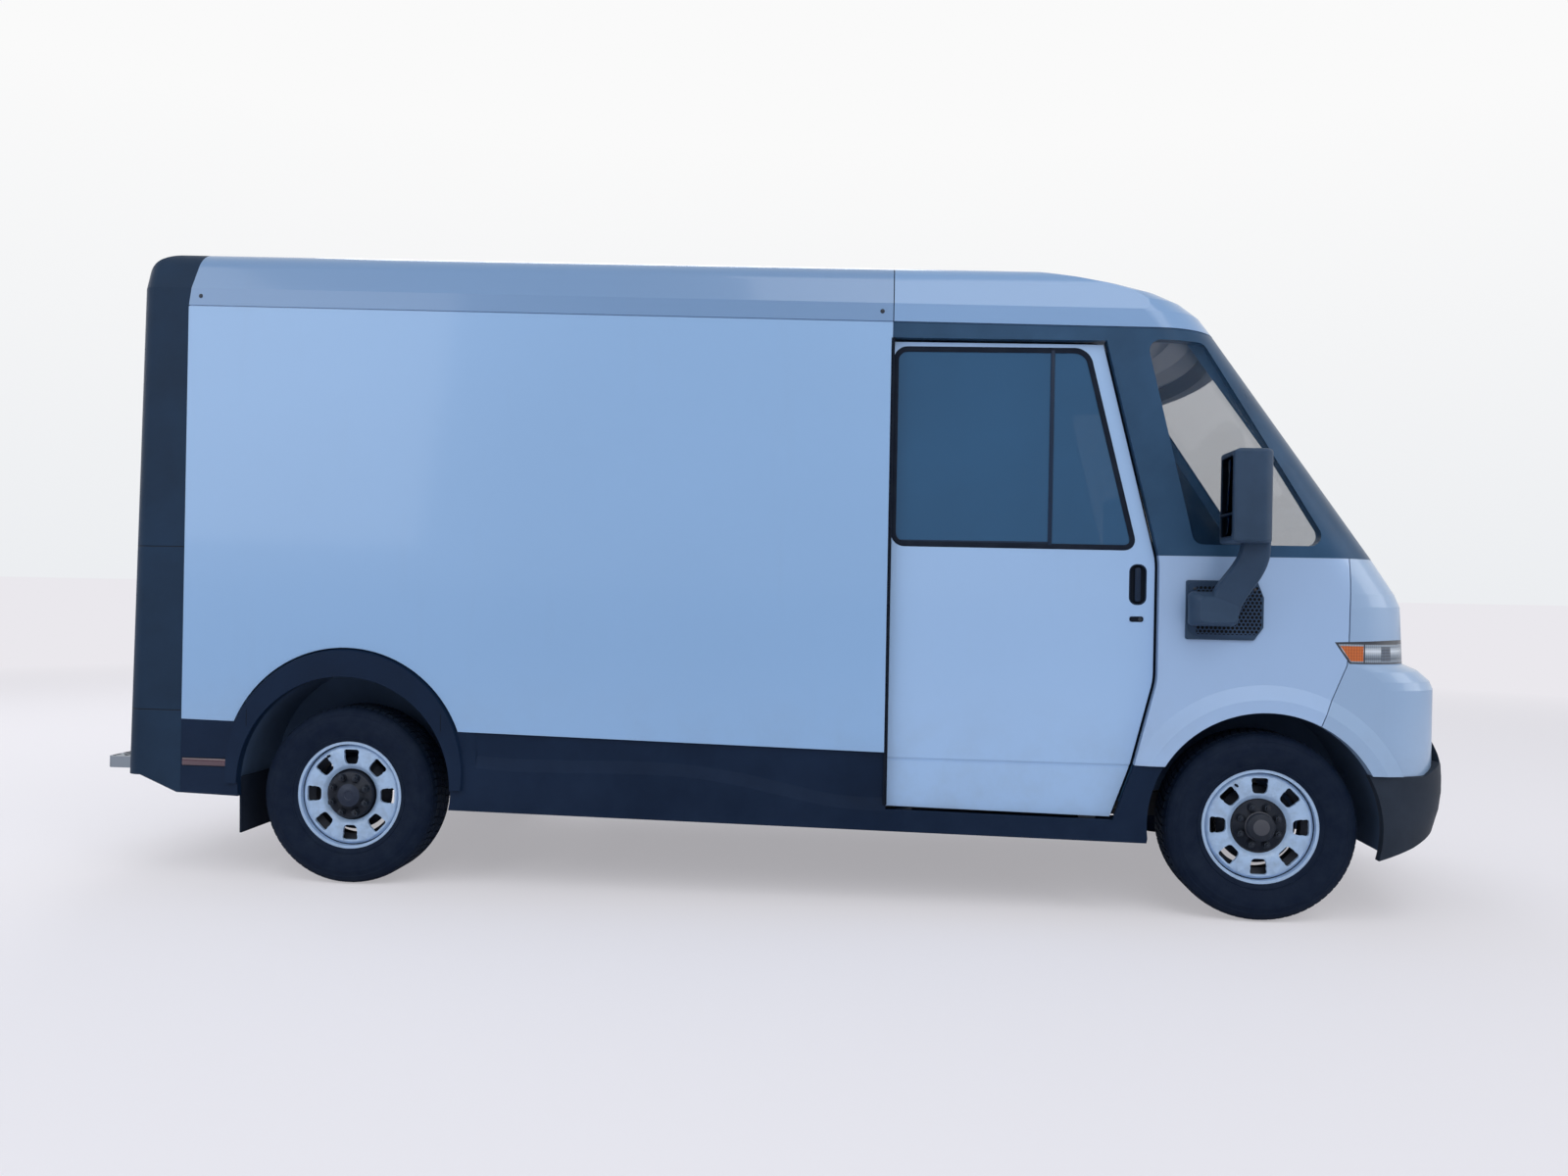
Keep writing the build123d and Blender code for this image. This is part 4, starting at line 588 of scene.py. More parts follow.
@dataclass(frozen=True)
class Moulding:
    """Grained exterior plastic, its tone varied at random, that gathers dust low down."""

    name: str
    colour: Colour
    roughness: float = 0.55
    grain: float = 900.0
    seams: tuple[float, ...] = ()
    dust: float = 0.0

    def build(self) -> bpy.types.Material:
        """Write the material, with a dark joint line at each seam's height."""
        graph = Graph(self.name)
        height = graph.axes()[2]
        cloud = graph.noise(3.0, 5.0, 0.6)
        scuff = graph.noise(38.0, 6.0, 0.7, (0.25, 1.0, 1.0)).ramp(0.62, 0.8)
        faded = graph.blend(cloud.ramp(0.3, 0.75), toned(self.colour, 0.82), toned(self.colour, 1.22, 0.001))
        low = (1.0 - height.ramp(0.3, 0.85)) * self.dust
        film = (cloud.ramp(0.4, 0.7) * low + scuff * low * 0.5).limited()
        colour = graph.blend(film, faded, srgb(78, 86, 96))
        relief = graph.cells(self.grain) * 0.6
        for seam in self.seams:
            line = height.near(seam, 0.0035)
            colour = graph.blend(line, colour, (0.0015, 0.002, 0.003))
            relief = relief - line * 6.0
        graph.bump(relief, 0.25, 0.0008)
        return graph.surface(
            Base_Color=colour,
            Roughness=self.roughness + cloud * 0.16 - 0.08 + scuff * 0.08,
            Specular_IOR_Level=MATT_GLOSS,
        )


@dataclass(frozen=True)
class Perforated:
    """Plastic cover with a field of hexagonal holes, painted near black as the shade inside them."""

    name: str
    colour: Colour
    pitch: float = 0.017
    field_low: float = 1.180
    field_high: float = 1.378
    field_rear: float = -0.292
    hole_share: float = 0.36

    def build(self) -> bpy.types.Material:
        """Write the material, its holes sunk and painted dark as their shade."""
        graph = Graph(self.name)
        x, _, z = graph.axes()
        rise = self.pitch * math.sqrt(3.0)

        def rows(shift_x: float, shift_z: float) -> Signal:
            """Squared distance to the middles of one of the two interleaved grids."""
            across = graph.wrapped(x + shift_x, self.pitch)
            up = graph.wrapped(z + shift_z, rise)
            return across * across + up * up

        nearest = rows(0.0, 0.0).least(rows(self.pitch / 2, rise / 2))
        hole = nearest < (self.pitch * self.hole_share) ** 2
        shaded_holes = hole * (z.between(self.field_low, self.field_high) * (x > FRONT_AXLE + self.field_rear))
        graph.bump(0.5 - shaded_holes, 0.6, 0.003)
        cloud = graph.noise(30.0, 4.0)
        base = graph.mottle(cloud, self.colour, 0.85, 1.15)
        # The holes are painted near black: painted shade.
        return graph.surface(
            Base_Color=graph.blend(shaded_holes, base, (0.0012, 0.0018, 0.003)),
            Roughness=cloud * 0.15 + 0.45 + shaded_holes * 0.3,
            Specular_IOR_Level=MATT_GLOSS,
        )


@dataclass(frozen=True)
class Glazing:
    """Safety glass with a faint waviness; its colour is a tint deepened to stand for the shade behind it and
    the sky's reflection: painted shade and painted reflection.
    """

    name: str
    colour: Colour
    alpha: float

    def build(self) -> bpy.types.Material:
        """Write the material."""
        graph = Graph(self.name)
        haze = graph.noise(2.2, 3.0)
        graph.bump(graph.noise(7.0, 1.0), 0.03, 0.002)
        return graph.surface(
            Base_Color=graph.mottle(haze, self.colour, 1.0, 1.3),
            Roughness=haze * 0.03 + 0.02,
            Alpha=self.alpha,
            Specular_IOR_Level=0.3,
        )


@dataclass(frozen=True)
class Rubber:
    """Seal rubber with a dusty bloom."""

    name: str
    colour: Colour
    bloom: Colour
    amount: float

    def build(self) -> bpy.types.Material:
        """Write the material."""
        graph = Graph(self.name)
        cloud = graph.noise(9.0, 6.0, 0.65)
        graph.bump(graph.noise(260.0, 4.0), 0.2, 0.0007)
        return graph.surface(
            Base_Color=graph.blend(cloud.ramp(0.4, 0.75) * self.amount, self.colour, self.bloom),
            Roughness=cloud * 0.2 + 0.62,
            Specular_IOR_Level=RUBBER_GLOSS,
        )


@dataclass(frozen=True)
class TyreRubber:
    """Tyre rubber: dusty tread, cleaner sidewalls with fine moulded rings and a ribbed buffing band."""

    name: str
    colour: Colour
    bloom: Colour
    tread_radius: float = 0.3865
    rings: Pair = (0.334, 0.366)
    ring_pitch: float = 0.0062
    band: Pair = (0.262, 0.286)
    flutes: int = 220

    def build(self) -> bpy.types.Material:
        """Write the material, patterned round the nearest axle."""
        graph = Graph(self.name)
        radius, angle = graph.about_axles()
        cloud = graph.noise(14.0, 6.0, 0.65)
        worn = (radius > self.tread_radius) * 0.55
        ring = abs(graph.wrapped(radius, self.ring_pitch)).ramp(0.0021, 0.0031)
        flute = abs(graph.wrapped(angle, math.tau / self.flutes)).ramp(0.003, 0.009)
        groove = (1.0 - ring) * radius.between(*self.rings) * 0.5 + radius.between(*self.band) * flute * 0.6
        graph.bump(graph.noise(260.0, 4.0) * 0.4 + groove, 0.35, 0.0012)
        dusty = (cloud.ramp(0.36, 0.72) * 0.45 + worn * cloud).limited()
        return graph.surface(
            Base_Color=graph.blend(dusty, self.colour, self.bloom),
            Roughness=cloud * 0.2 + 0.6,
            Specular_IOR_Level=RUBBER_GLOSS,
        )


@dataclass(frozen=True)
class WheelPaint:
    """Painted steel wheel with a dark hub, brake dust, chips round its nuts and painted shade on its inner
    side behind the hand holes.
    """

    name: str
    colour: Colour
    # The hub's colour, also painted on the wheel's inner side as shade.
    hub: Colour = srgb(16, 24, 38)
    hub_radius: float = 0.1065
    disc_radius: float = 0.228
    shadow_y: float = 0.9495

    def build(self) -> bpy.types.Material:
        """Write the material, patterned round the nearest axle."""
        graph = Graph(self.name)
        radius, _ = graph.about_axles()
        depth = abs(graph.axes()[1])
        cloud = graph.noise(24.0, 6.0, 0.65)
        # Dark is the hub and, deeper than shadow_y, the disc's back and the rim's inside, painted dark as
        # shade behind the hand holes.
        dark = (radius < self.hub_radius) + (depth < self.shadow_y) * (radius < self.disc_radius) > 0.5
        spots = graph.noise(90.0, 5.0, 0.7).ramp(0.64, 0.72)
        dust = (cloud.ramp(0.42, 0.8) * (radius.near(0.16, 0.06) * 0.2 + 0.24)).limited()
        painted = graph.blend(dust, self.colour, srgb(86, 84, 84))
        chipped = graph.blend(spots * 0.35, painted, srgb(62, 50, 44))
        hub_and_inner_shade = graph.blend(cloud.ramp(0.5, 0.9), self.hub, srgb(52, 56, 64))
        graph.bump(cloud * 0.5 + spots * 0.2, 0.12, 0.0008)
        return graph.surface(
            Base_Color=graph.blend(dark, chipped, hub_and_inner_shade),
            Metallic=dark * 0.4,
            Roughness=cloud * 0.2 + 0.36 + dark * 0.12,
            Coat_Weight=(1.0 - dark) * 0.25,
        )


@dataclass(frozen=True)
class Metal:
    """Cast, pressed or brushed metal."""

    name: str
    colour: Colour
    metallic: float = 1.0
    roughness: float = 0.4
    stretch: Point = (1, 1, 1)
    wear: Colour = (0.16, 0.1, 0.07)
    rust: float = 0.0
    grazing: Colour = (1.0, 1.0, 1.0)

    def build(self) -> bpy.types.Material:
        """Write the material."""
        graph = Graph(self.name)
        streak = graph.noise(60.0, 4.0, 0.6, self.stretch)
        patch = graph.noise(6.0, 5.0, 0.7).ramp(0.55, 0.8) * self.rust
        graph.bump(streak, 0.12, 0.0005)
        return graph.surface(
            Base_Color=graph.blend(patch, self.colour, self.wear),
            Metallic=self.metallic * (1.0 - patch) if self.rust else self.metallic,
            Roughness=self.roughness + streak * 0.14 - 0.07 + patch * 0.3,
            Specular_Tint=self.grazing,
        )


@dataclass(frozen=True)
class Lens:
    """Moulded lamp lens with a fine prism pattern inside."""

    name: str
    colour: Colour
    pitch: float = 0.009

    def build(self) -> bpy.types.Material:
        """Write the material."""
        graph = Graph(self.name)
        _, y, z = graph.axes()
        facet = (graph.ridges(y, self.pitch) + graph.ridges(z, self.pitch)) * 0.5
        graph.bump(facet, 0.3, 0.001)
        return graph.surface(
            Base_Color=graph.mottle(facet, self.colour, 0.72, 1.25),
            Roughness=facet * 0.05 + 0.12,
            Coat_Weight=0.8,
            Coat_Roughness=0.04,
        )


@dataclass(frozen=True)
class Headlamp:
    """Wrap-round headlamp: an amber turn section, a dark surround and a fluted clear part, with a painted
    shade band, a painted highlight band and painted shade on its deep-set parts.

    Places are in metres, ahead of the front axle, from the middle plane and above the ground.
    """

    name: str
    clear: Colour = srgb(125, 137, 150)
    amber: Colour = srgb(172, 84, 24)
    housing: Colour = srgb(24, 30, 42)
    side_from: float = 0.985
    rim: Pair = (1.078, 1.151)
    turn: Pair = (1.083, 1.144)
    slant: float = 0.686
    slant_top: float = 1.158
    turn_rear: float = 0.271
    turn_front: float = 0.372
    divider: float = 0.376
    pupil: Pair = (0.45, 0.50)
    pupil_z: Pair = (1.084, 1.142)
    pods: tuple[Point, ...] = ((0.74, 0.052, 0.7), (0.88, 0.045, 0.6))
    pod_z: float = 1.116
    pod_rise: float = 0.034

    def build(self) -> bpy.types.Material:
        """Write the material, its sections placed along the lamp's side."""
        graph = Graph(self.name)
        x, y, z = graph.axes()
        ahead_of = x - FRONT_AXLE
        side = abs(y) > self.side_from
        slanted = ahead_of - (self.slant_top - z) * self.slant
        orange = (slanted > self.turn_rear) * (ahead_of < self.turn_front) * z.between(*self.turn) * side
        facet = graph.ridges(x + y, 0.011) * 0.6 + graph.ridges(z, 0.012) * 0.4
        edge = (z > self.rim[1]) + (z < self.rim[0]) + (slanted < self.turn_rear - 0.003) * side
        dark = edge + (abs(ahead_of - self.divider) < 0.003) * side > 0.5
        # The lamp's pupil and pods are deep-set parts, painted darker as their shade.
        shaded_deep_parts = ahead_of.between(*self.pupil) * z.between(*self.pupil_z) * side
        for place, half, front in self.pods:
            pod = (abs(abs(y) - place) < half) * (abs(z - self.pod_z) < self.pod_rise) * (ahead_of > front)
            shaded_deep_parts = shaded_deep_parts + pod
        flat = graph.mottle(facet, self.clear, 0.66, 1.3)
        # A darker band and a lighter band across the clear part at fixed heights: painted shade and painted
        # highlight.
        shaded = graph.blend(z.near(1.094, 0.012) * 0.7, flat, srgb(46, 58, 74))
        painted_highlight = graph.blend(z.near(1.124, 0.016) * 0.85, shaded, srgb(208, 216, 226))
        # sunk is the painted shade of the deep-set parts.
        sunk = graph.blend(facet, srgb(30, 38, 50), srgb(96, 108, 124))
        lit = graph.blend(shaded_deep_parts.limited(), painted_highlight, sunk)
        turning = graph.blend(orange, lit, graph.mottle(facet, self.amber, 0.7, 1.35))
        graph.bump(facet * (1.0 - dark), 0.35, 0.0012)
        return graph.surface(
            Base_Color=graph.blend(dark, turning, self.housing),
            Roughness=facet * 0.06 + 0.12 + dark * 0.2,
            Coat_Weight=0.7,
            Coat_Roughness=0.04,
        )


@dataclass(frozen=True)
class Fabric:
    """Woven seat cover with stitched channels and worn panels."""

    name: str
    colour: Colour
    thread: Colour
    pitch: float = 0.0022
    middle_y: float = 0.43
    panel_half: float = 0.135
    seam_half: float = 0.137
    seam_width: float = 0.0022
    stitch_pitch: float = 0.007

    def build(self) -> bpy.types.Material:
        """Write the material."""
        graph = Graph(self.name)
        x, y, z = graph.axes()
        weave = graph.ridges(y, self.pitch) * 0.5 + graph.ridges(x + z, self.pitch) * 0.5
        away = abs(y - self.middle_y)
        seam = abs(away - self.seam_half) < self.seam_width
        stitch = seam * (abs(graph.wrapped(x + z, self.stitch_pitch)) < 0.0024)
        cloud = graph.noise(11.0, 5.0, 0.6)
        panel = graph.mottle((away < self.panel_half) * 0.8, self.colour, 1.0, 1.7)
        woven = graph.blend(weave * 0.5 + cloud * 0.3, panel, toned(self.colour, 2.1))
        graph.bump(weave * 0.5 - seam * 2.5 + stitch * 1.2 + cloud * 0.2, 0.5, 0.0012)
        return graph.surface(Base_Color=graph.blend(stitch, woven, self.thread), Roughness=cloud * 0.1 + 0.86)


@dataclass(frozen=True)
class Liner:
    """Moulded inner panel or floor with a raised pattern."""

    name: str
    colour: Colour
    pitch: float = 0.04
    roughness: float = 0.6

    def build(self) -> bpy.types.Material:
        """Write the material."""
        graph = Graph(self.name)
        x, y, z = graph.axes()
        bars = [
            abs(graph.wrapped(along, self.pitch)).ramp(self.pitch * 0.36, self.pitch * 0.44)
            for along in (x + y + z, x - y - z)
        ]
        pattern = bars[0] * 0.5 + bars[1] * 0.5
        cloud = graph.noise(5.0, 6.0, 0.65)
        scuff = graph.noise(60.0, 6.0, 0.75, (0.3, 1.0, 1.0)).ramp(0.6, 0.78)
        graph.bump(pattern * 0.6 + scuff * 0.2, 0.22, 0.0012)
        base = graph.mottle(cloud.ramp(0.3, 0.75), self.colour, 0.86, 1.1)
        return graph.surface(
            Base_Color=graph.blend(scuff * 0.25, base, srgb(110, 116, 122)),
            Roughness=self.roughness + cloud * 0.14,
        )


@dataclass(frozen=True)
class Shutter:
    """Roll door curtain: painted slats with a dark joint between each."""

    name: str
    colour: Colour
    pitch: float = 0.1524
    foot: float = 0.684

    def build(self) -> bpy.types.Material:
        """Write the material."""
        graph = Graph(self.name)
        z = graph.axes()[2]
        local = graph.wrapped(z - self.foot, self.pitch)
        joint = abs(local).near(0.0, 0.004)
        cloud = graph.noise(4.0, 6.0, 0.6)
        streak = graph.noise(12.0, 5.0, 0.6, (1.0, 1.0, 0.1)).ramp(0.5, 0.8)
        film = (cloud.ramp(0.45, 0.8) * 0.2 + streak * 0.12).limited()
        base = graph.blend(film, self.colour, srgb(120, 124, 128))
        graph.bump(0.0 - joint * 2.0 + graph.noise(500.0, 2.0) * 0.05, 0.5, 0.0012)
        return graph.surface(
            Base_Color=graph.blend(joint, base, srgb(44, 52, 62)),
            Roughness=cloud * 0.14 + 0.36 + joint * 0.2,
            Coat_Weight=0.25,
        )


class Finish(Enum):
    """Every finish on the van."""

    WHITE = Paint("paint_white", srgb(126, 162, 203))
    # The two roofs are the body's white paint toned darker: painted shade.
    ROOF = Paint("paint_roof", srgb(98, 132, 172))
    CAB_ROOF = Paint("paint_cab_roof", srgb(108, 144, 186))
    # The door, fender and nose are the body's white paint, each toned on its own to how its panel is lit:
    # painted light and shade.
    DOOR = Paint("paint_door", srgb(142, 174, 213), shoes=True)
    FENDER = Paint("paint_fender", srgb(142, 169, 205), dust_top=1.1)
    NOSE = Paint("paint_nose", srgb(132, 158, 190))
    WHEEL = WheelPaint("wheel_white", srgb(152, 178, 210))
    CLADDING = Moulding("cladding_black", srgb(6, 26, 50), dust=0.05)
    POST = Moulding("post_black", srgb(22, 42, 64), seams=(1.47, 0.75), dust=0.02)
    FRAME = Moulding("frame_black", srgb(42, 70, 98), roughness=0.3)
    BUMPER = Moulding("bumper_charcoal", srgb(32, 40, 52), dust=0.1)
    MIRROR = Moulding("mirror_black", srgb(48, 66, 88), roughness=0.42)
    HANDLE = Moulding("handle_black", srgb(26, 40, 60), roughness=0.4, grain=1400.0)
    GAP = Moulding("gap_black", srgb(14, 22, 34), roughness=0.8)
    LINING = Moulding("door_lining", srgb(70, 78, 88), roughness=0.62, grain=700.0)
    PERFORATED = Perforated("perforated_black", srgb(44, 62, 86))
    # The glasses' colours stand for the shade inside and the sky's reflection as well as their tint: painted
    # shade and painted reflection.
    GLASS = Glazing("window_glass", srgb(36, 76, 110), 0.88)
    SCREEN_GLASS = Glazing("screen_glass", srgb(22, 48, 76), 0.3)
    QUARTER_GLASS = Glazing("quarter_glass", srgb(40, 70, 100), 0.12)
    MIRROR_GLASS = Metal("mirror_glass", srgb(66, 88, 116), roughness=0.08, grazing=(0.04, 0.06, 0.09))
    TYRE = TyreRubber("tyre_rubber", srgb(7, 20, 40), srgb(32, 42, 56))
    SEAL = Rubber("seal_rubber", srgb(16, 24, 38), srgb(44, 52, 64), 0.3)
    HOUSE = Moulding("wheelhouse_black", srgb(62, 80, 106), roughness=0.8, grain=400.0, dust=0.1)
    CHASSIS = Metal("chassis_black", srgb(30, 33, 38), metallic=0.3, roughness=0.6, rust=0.5)
    BATTERY = Metal("battery_case", srgb(62, 68, 76), metallic=0.6, roughness=0.5, rust=0.1)
    ALLOY = Metal("step_alloy", srgb(128, 136, 146), roughness=0.45, stretch=(1.0, 0.06, 1.0))
    BRIGHT = Metal("bright_steel", srgb(170, 174, 180), roughness=0.22)
    HUB = Metal("hub_dark", srgb(48, 54, 64), metallic=0.7, roughness=0.5, rust=0.3)
    NUT = Metal("wheel_nut", srgb(26, 34, 46), metallic=0.5, roughness=0.42, rust=0.2)
    CAP_GREY = Metal("hub_cap_grey", srgb(66, 68, 76), metallic=0.5, roughness=0.5, rust=0.2)
    CAP_DARK = Metal(
        "hub_cap_dark", srgb(14, 28, 50), metallic=0.3, roughness=0.42, wear=srgb(70, 84, 104), rust=0.3
    )
    RED_LENS = Lens("red_lens", srgb(120, 26, 30))
    MARKER_LENS = Lens("marker_lens", srgb(62, 24, 44))
    AMBER_LENS = Lens("amber_lens", srgb(190, 100, 34))
    CLEAR_LENS = Lens("clear_lens", srgb(170, 180, 190))
    HEADLAMP = Headlamp("headlamp_lens")
    FABRIC = Fabric("seat_fabric", srgb(46, 50, 58), srgb(120, 126, 136))
    SCREEN_DARK = Metal("screen_dark", srgb(10, 14, 20), metallic=0.0, roughness=0.12)
    LEATHER = Moulding("wheel_leather", srgb(32, 36, 42), roughness=0.5, grain=600.0)
    LINER = Liner("liner_grey", srgb(120, 128, 136))
    FLOOR = Liner("floor_grey", srgb(86, 92, 98), pitch=0.05, roughness=0.7)
    SHUTTER = Shutter("shutter_white", srgb(170, 184, 200))
    DASH = Moulding("dash_grey", srgb(54, 60, 68), roughness=0.66, grain=700.0)


class Library:
    """Builds each finish once, on first use."""

    def __init__(self) -> None:
        """Start with no materials."""
        self._made: dict[Finish, bpy.types.Material] = {}

    def __getitem__(self, finish: Finish) -> bpy.types.Material:
        """The finish's material."""
        if finish not in self._made:
            self._made[finish] = finish.value.build()
        return self._made[finish]


def dress(node: bpy.types.Object, material: bpy.types.Material) -> None:
    """Give a CAD node one material."""
    if not node.material_slots:
        node.data.materials.append(material)
    for slot in node.material_slots:
        slot.material = material




# ---------------------------------------------------------------- studio
@dataclass(frozen=True)
class Lamp:
    """One square soft light, aimed from a place at a spot."""

    name: str
    place: Point
    aim: Point
    size: float
    power: float

    def build(self) -> None:
        """Set the light up."""
        data = bpy.data.lights.new(self.name, "AREA")
        data.size = self.size
        data.energy = self.power
        lamp = bpy.data.objects.new(self.name, data)
        lamp.location = self.place
        lamp.rotation_euler = (Vector(self.aim) - Vector(self.place)).to_track_quat("-Z", "Y").to_euler()
        bpy.context.scene.collection.objects.link(lamp)


@dataclass
class Studio:
    """Camera, soft lights, pale floor and backdrop."""

    eye: Point = (0.5221, -5.9651, 1.3392)
    yaw: float = -0.08735
    pitch: float = -0.0006
    roll: float = 0.01841
    lens: float = 27.0
    floor_half: float = 400.0
    floor_colour: Colour = srgb(234, 232, 237)
    wall_low: Colour = srgb(236, 238, 241)
    wall_high: Colour = srgb(250, 250, 250)
    wall_top: float = 0.35
    daylight: Colour = (0.88, 0.93, 1.0)
    daylight_power: float = 0.5
    lamps: tuple[Lamp, ...] = (
        Lamp("key", (3.5, -9.0, 9.5), (0.2, 0.0, 1.0), 9.0, 620.0),
        Lamp("fill", (-7.0, -7.0, 5.0), (-0.5, 0.0, 1.2), 7.0, 230.0),
        Lamp("front", (11.0, -3.0, 4.5), (1.0, 0.0, 1.2), 6.0, 220.0),
        Lamp("back", (-3.0, 9.0, 8.0), (0.0, 0.0, 1.2), 8.0, 480.0),
        Lamp("rear", (-11.0, 2.0, 5.0), (0.0, 0.0, 1.4), 6.0, 220.0),
    )

    def place_camera(self) -> None:
        """Set the camera from its place and its three angles."""
        level = Vector((math.sin(self.yaw), math.cos(self.yaw), 0.0))
        forward = level * math.cos(self.pitch) + Vector((0.0, 0.0, math.sin(self.pitch)))
        right = Vector((level.y, -level.x, 0.0))
        up = right.cross(forward)
        turned_right = right * math.cos(self.roll) + up * math.sin(self.roll)
        turned_up = up * math.cos(self.roll) - right * math.sin(self.roll)
        data = bpy.data.cameras.new("camera")
        data.sensor_width = 36.0
        data.lens = self.lens
        data.clip_end = 1500.0
        camera = bpy.data.objects.new("camera", data)
        basis = Matrix((turned_right, turned_up, -forward)).transposed().to_4x4()
        camera.matrix_world = Matrix.Translation(self.eye) @ basis
        bpy.context.scene.collection.objects.link(camera)
        bpy.context.scene.camera = camera

    def place_floor(self) -> None:
        """Lay a pale floor that keeps the van's shadow."""
        shape = bmesh.new()
        bmesh.ops.create_grid(shape, x_segments=1, y_segments=1, size=self.floor_half)
        mesh = bpy.data.meshes.new("floor")
        shape.to_mesh(mesh)
        shape.free()
        floor = bpy.data.objects.new("floor_plane", mesh)
        bpy.context.scene.collection.objects.link(floor)
        graph = Graph("studio_floor")
        x, y, _ = graph.axes()
        away = ((x * x + y * y) / 60.0).ramp(0.25, 4.0)
        glow = graph.node("ShaderNodeEmission", None, {"Color": self.floor_colour, "Strength": 1.0})
        camera = Signal(graph, graph.node("ShaderNodeLightPath").outputs["Is Camera Ray"])
        inputs = {0: camera * (away * 0.55 + 0.45), 1: graph.shader.outputs[0], 2: glow.outputs[0]}
        mixed = graph.node("ShaderNodeMixShader", None, inputs)
        graph.plug(graph.output.inputs["Surface"], mixed.outputs[0])
        floor.data.materials.append(graph.surface(Base_Color=self.floor_colour, Roughness=0.9))

    def place_world(self) -> None:
        """Put a pale surround behind the van for the camera, gloss and glass, and a dimmer one as light."""
        world = bpy.data.worlds.new("studio")
        bpy.context.scene.world = world
        world.use_nodes = True
        nodes = Nodes(world.node_tree)
        where = nodes.node("ShaderNodeTexCoord").outputs["Generated"]
        height = nodes.node("ShaderNodeSeparateXYZ", None, {0: where}).outputs["Z"]
        stops = ((0.0, self.wall_low), (self.wall_top, self.wall_high))
        tone = nodes.node("ShaderNodeValToRGB", {"stops": stops}, {0: height}).outputs[0]
        wall = nodes.node("ShaderNodeBackground", None, {0: tone}).outputs[0]
        light_inputs = {0: self.daylight, 1: self.daylight_power}
        light = nodes.node("ShaderNodeBackground", None, light_inputs).outputs[0]
        rays = nodes.node("ShaderNodeLightPath").outputs
        camera, glossy, through = (
            Signal(nodes, rays[f"Is {kind} Ray"]) for kind in ("Camera", "Glossy", "Transmission")
        )
        seen = camera.most(glossy).most(through)
        mixed = nodes.node("ShaderNodeMixShader", None, {0: seen, 1: light, 2: wall})
        nodes.node("ShaderNodeOutputWorld", None, {0: mixed.outputs[0]})

    def build(self) -> None:
        """Set the whole studio."""
        bpy.context.scene.view_settings.view_transform = "Standard"
        self.place_camera()
        self.place_floor()
        for lamp in self.lamps:
            lamp.build()
        self.place_world()


# ---------------------------------------------------------------- outside trim
@dataclass
class Trim:
    """A group of fine pieces that share the van's finishes."""

    library: Library

    def fit(
        self, form: Form, name: str, finish: Finish, slot: str = "trim_black", body: str = "van",
        crease: float = 35.0,
    ) -> bpy.types.Object:
        """Finish a form as a piece.

        Args:
            form: Its shape.
            name: Its name.
            finish: Its finish.
            slot: Not used.
            body: The moving body that it rides on.
            crease: Edges sharper than this many degrees stay crisp.

        Returns:
            The new object.
        """
        return form.done(name, self.library[finish], body, crease)

    def fit_cut(
        self, node: str, cutter: Form, name: str, finish: Finish, slot: str, body: str, crease: float
    ) -> None:
        """Put a copy of a CAD node in its place, with a form cut out of it.

        Args:
            node: The CAD node.
            cutter: The form that is cut away.
            name: The copy's name.
            finish: The copy's finish.
            slot: Not used.
            body: The moving body that it rides on.
            crease: Edges sharper than this many degrees stay crisp.
        """
        piece = self.fit(Form.of_node(node), name, finish, slot, body, crease)
        tool = bpy.data.objects.new("cutter", bpy.data.meshes.new("cutter"))
        cutter.mesh.to_mesh(tool.data)
        cutter.mesh.free()
        bpy.context.scene.collection.objects.link(tool)
        cut = piece.modifiers.new("cut", "BOOLEAN")
        cut.operation = "DIFFERENCE"
        cut.solver = "EXACT"
        cut.object = tool
        settle(piece, crease)
        bpy.data.objects.remove(tool)
        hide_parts(node)


